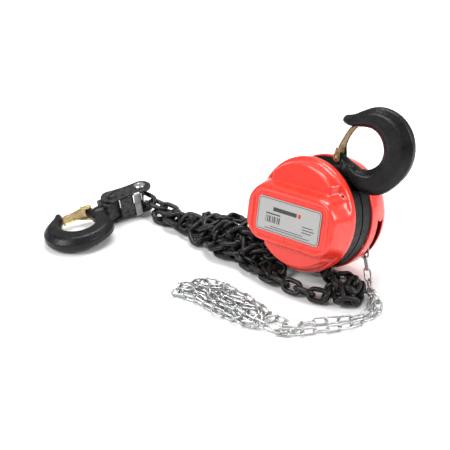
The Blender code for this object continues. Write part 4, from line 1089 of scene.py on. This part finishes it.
def hook_rows():
    """Centre, half width and half thickness along the hook about its bowl's centre, lug to tip."""
    bowl = 25.0
    rows = [(22.0, -33.4, 3.0, 3.6), (19.0, -33.6, 5.8, 6.4), (12.0, -34.0, 7.0, 6.6),
            (2.0, -33.5, 7.4, 7.5)]
    for degrees, radius, thickness in (
            (10.0, 40.5, 9.0), (25.0, 47.5, 10.0), (45.0, 54.0, 10.5), (65.0, 57.5, 10.5),
            (88.0, 57.5, 10.5), (110.0, 60.0, 11.0), (130.0, 62.5, 11.0), (150.0, 63.5, 11.0),
            (168.0, 61.5, 11.0),
            (185.0, 57.5, 10.5), (202.0, 52.0, 10.0), (220.0, 45.5, 9.0)):
        angle = radians(degrees)
        middle = (radius + bowl) / 2
        rows.append((-middle * sin(angle), -middle * cos(angle), (radius - bowl) / 2, thickness))
    rows += [(31.0, 15.5, 7.6, 8.0), (37.0, 9.6, 6.4, 7.5), (42.0, 7.0, 4.8, 6.2), (44.0, 6.3, 2.6, 3.6)]
    return rows


def forged_section(row, along, scale, count=32):
    """Flat-sided section with broad bevels, square to the direction along."""
    x, z, half_width, half_thickness = row
    side = (-along[1], along[0])
    ring = []
    for i in range(count):
        angle = tau * i / count
        c, s = cos(angle), sin(angle)
        size = 1.0 / (abs(c) ** 7 + abs(s) ** 7) ** (1 / 7)
        bevel = 1.0 / max(abs(c) + 0.78 * abs(s), 0.5) * 1.29
        size = min(size, bevel)
        across, thick = c * size * half_width, s * size * half_thickness
        ring.append(((x + side[0] * across) * scale, thick, (z + side[1] * across) * scale + HOOK_REACH))
    return ring


def hook(end, place, scale):
    rows = curve_through(hook_rows(), 4)
    rings = []
    for i, row in enumerate(rows):
        before, after = rows[max(i - 1, 0)], rows[min(i + 1, len(rows) - 1)]
        along = (after[:2] - before[:2]) / np.linalg.norm(after[:2] - before[:2])
        rings.append(forged_section(row, along, scale))
    shape = bmesh.new()
    bridge(shape, rings)
    collar = HOOK_REACH - 31.0 * scale
    neck = lathe([(1.0, 6.4), (9.0, 6.4), (9.0, 10.4), (6.0, 10.6), (6.0, 17.4), (9.6, 17.6), (10.6, 18.6),
                  (11.0, (17.6 + collar) / 2), (10.2, collar), (6.0, collar + 2.0), (1.0, collar + 2.5)], 40,
                 axis="Z")
    add_shape(shape, neck)
    shape = modified(shape, [("REMESH", {"mode": "VOXEL", "voxel_size": 0.95}),
                             ("SMOOTH", {"factor": 0.5, "iterations": 3})])
    show(f"{end}_hook_forging", shape, place, f"{end}_hook_body", "forged_black", (f"{end}_hook",),
         sharp=80.0)


def latch(end, place, slot, scale):
    """Formed strip with ears about its pin, a rolled-over tip and turned-down sides."""
    x, z = LATCH_PIN_AT
    hinge = place @ at(x * scale, 0.0, z * scale + HOOK_REACH) @ turned_by((0.0, LATCH_REST, 0.0))
    centre = curve_through([(row[0] * scale, row[1] * scale) for row in
                            ((1.6, 3.0), (4.0, 9.0), (5.0, 19.0), (4.6, 30.0), (3.2, 39.0), (1.6, 42.6))], 5)
    half_widths = np.interp(np.linspace(0, 1, len(centre)), (0.0, 0.2, 0.5, 0.85, 1.0),
                            (9.2, 9.2, 6.6, 7.2, 6.4))
    rings = []
    columns = 12
    for i, (point, half) in enumerate(zip(centre, half_widths)):
        ahead = centre[min(i + 1, len(centre) - 1)] - centre[max(i - 1, 0)]
        ahead = ahead / np.linalg.norm(ahead)
        out = np.array((ahead[1], -ahead[0]))
        top, under = [], []
        for column in range(columns + 1):
            across = -1.0 + 2.0 * column / columns
            curl = 1.9 * abs(across) ** 5
            for sheet, store in ((0.85, top), (-0.85, under)):
                spot = point + out * (sheet - curl + 0.5)
                store.append((spot[0], across * half, spot[1]))
        rings.append(top + under[::-1])
    shape = bmesh.new()
    bridge(shape, rings)
    for side in (-1, 1):
        ear = [on_circle(4.6, degrees) for degrees in range(170, 371, 20)]
        ear += [(6.6 * scale, 11.0 * scale), (2.4 * scale, 12.5 * scale)]
        low, high = sorted((side * 8.0, side * 9.3))
        add_shape(shape, prism(ear, low, high))
    show(f"{end}_latch_strip", shape, hinge, f"{end}_latch_body", slot, (f"{end}_latch",), sharp=40.0,
         bevel=0.25)


def latch_pin(end, place, slot, scale):
    x, z = LATCH_PIN_AT
    hinge = place @ at(x * scale, 0.0, z * scale + HOOK_REACH)
    pin = lathe([(0.4, -10.9), (1.9, -10.8), (3.0, -10.1), (3.2, -9.6), (2.0, -9.5), (2.0, 9.5), (3.2, 9.6),
                 (3.0, 10.1), (1.9, 10.8), (0.4, 10.9)], 24)
    show(f"{end}_latch_rivet", pin, hinge, f"{end}_hook_body", slot, (f"{end}_latch_pin",), sharp=40.0)


def yoke(end, place):
    outline = [(12.6, 17.0), (-12.6, 17.0)]
    for step in range(25):
        angle = radians(180.0 + 180.0 * step / 24)
        outline.append((10.3 * cos(angle), 8.9 * sin(angle)))
    shape = prism(outline, -12.9, 12.9)
    show(f"{end}_yoke_block", shape, place, f"{end}_yoke_body", "forged_black", (f"{end}_yoke",), sharp=30.0,
         bevel=1.2)


# Bottom block

def dog_bone(lobe, waist):
    """Outline about two pins with a narrower waist between the lobes."""
    outline = []
    for centre, start in ((0.0, -78.0), (-BLOCK_LENGTH, 102.0)):
        for step in range(25):
            x, y = on_circle(lobe, start + 156.0 * step / 24)
            outline.append((centre + x, y))
        sign = 1.0 if start < 0 else -1.0
        for share in (0.25, 0.5, 0.75):
            run = -BLOCK_LENGTH * (share if start < 0 else 1.0 - share)
            outline.append((run, sign * (lobe * 0.97 - (lobe * 0.97 - waist) * sin(pi * share))))
    return outline


def block_plates():
    for name, low in (("block_plate_upper", 14.0), ("block_plate_lower", -17.0)):
        shape = prism(dog_bone(15.0, 12.6), low, low + 3.0, axis="Z")
        show(f"{name}_forging", shape, BLOCK, "bottom_block_body", "forged_black", (name,),
             sharp=40.0, bevel=0.9)


def block_strap():
    """Bent strap between the plates beside the chain pin, folded over both of their edges."""
    low, high = -16.6, 16.6
    points = [(-12.0, high), (-15.2, high), (-16.6, high - 2.2), (-15.8, high - 6.0), (-15.2, 0.0),
              (-15.8, low + 6.0), (-16.6, low + 2.2), (-15.2, low), (-12.0, low)]
    centre = curve_through(points, 5)
    rings = []
    for i, point in enumerate(centre):
        ahead = centre[min(i + 1, len(centre) - 1)] - centre[max(i - 1, 0)]
        ahead = ahead / np.linalg.norm(ahead)
        out = np.array((ahead[1], -ahead[0])) * 0.9
        rings.append([(-16.0, *(point + out)), (-7.0, *(point + out)), (-7.0, *(point - out)),
                      (-16.0, *(point - out))])
    shape = bmesh.new()
    bridge(shape, rings)
    web = box((-35.5, -13.6, -13.9), (-16.5, -11.6, 13.9))
    show("block_web", web, BLOCK, "bottom_block_body", "forged_black", bevel=0.4)
    show("block_strap", shape, BLOCK, "bottom_block_body", "bright_steel", ("block_spacer",),
         sharp=40.0, bevel=0.5, material=PAINT["gear_steel"])


def block_pins():
    top = 17.3
    chain_pin = lathe([(0.5, -top - 2.6), (6.4, -top - 2.4), (7.4, -top - 1.4), (7.5, -top), (4.5, -top),
                       (4.5, top), (7.5, top), (7.4, top + 1.4), (6.2, top + 2.7), (3.4, top + 3.0),
                       (3.0, top + 2.3),
                       (0.5, top + 2.2)], 40, axis="Z")
    show("chain_pin_rivet", chain_pin, BLOCK, "bottom_block_body", "bright_steel",
         ("chain_pin",), sharp=35.0)
    hook_pin = lathe([(0.5, -top - 2.6), (5.6, -top - 2.4), (6.4, -top - 1.2), (6.5, -top), (4.5, -top),
                      (4.5, top), (6.5, top), (6.4, top + 1.8), (5.8, top + 2.8), (0.5, top + 3.1)], 40,
                     axis="Z")
    slot = box((-7.0, -0.8, top + 1.6), (7.0, 0.8, top + 6.0))
    hook_pin = cut(hook_pin, slot)
    show("hook_pin_split_end", hook_pin, HOOK_PIN @ turned_by((0.0, 0.0, 35.0)),
         "bottom_block_body", "forged_black", ("hook_pin",), sharp=35.0)


def finish_cad_nodes():
    """Every CAD node that stays in view gets the detailed material of its slot."""
    for entry in frame["record"]["subparts"]:
        node = frame["nodes"][entry["node"]]
        for material_slot in node.material_slots:
            material_slot.material = PAINT[entry["material_slot"]]


make_camera()
make_chains()
make_floor()
make_light()
finish_cad_nodes()
gear_cover()
wheel_cover()
name_plate()
cover_fasteners()
for end, hook_place, yoke_place, latch_slot, scale in (
        ("top", TOP_HOOK, TOP_YOKE, "bronze_latch", TOP_SCALE),
        ("bottom", BOTTOM_HOOK, BOTTOM_YOKE, "brass_latch", BOTTOM_SCALE)):
    hook(end, hook_place, scale)
    latch(end, hook_place, latch_slot, scale)
    latch_pin(end, hook_place, latch_slot, scale)
    yoke(end, yoke_place)
block_plates()
block_strap()
block_pins()
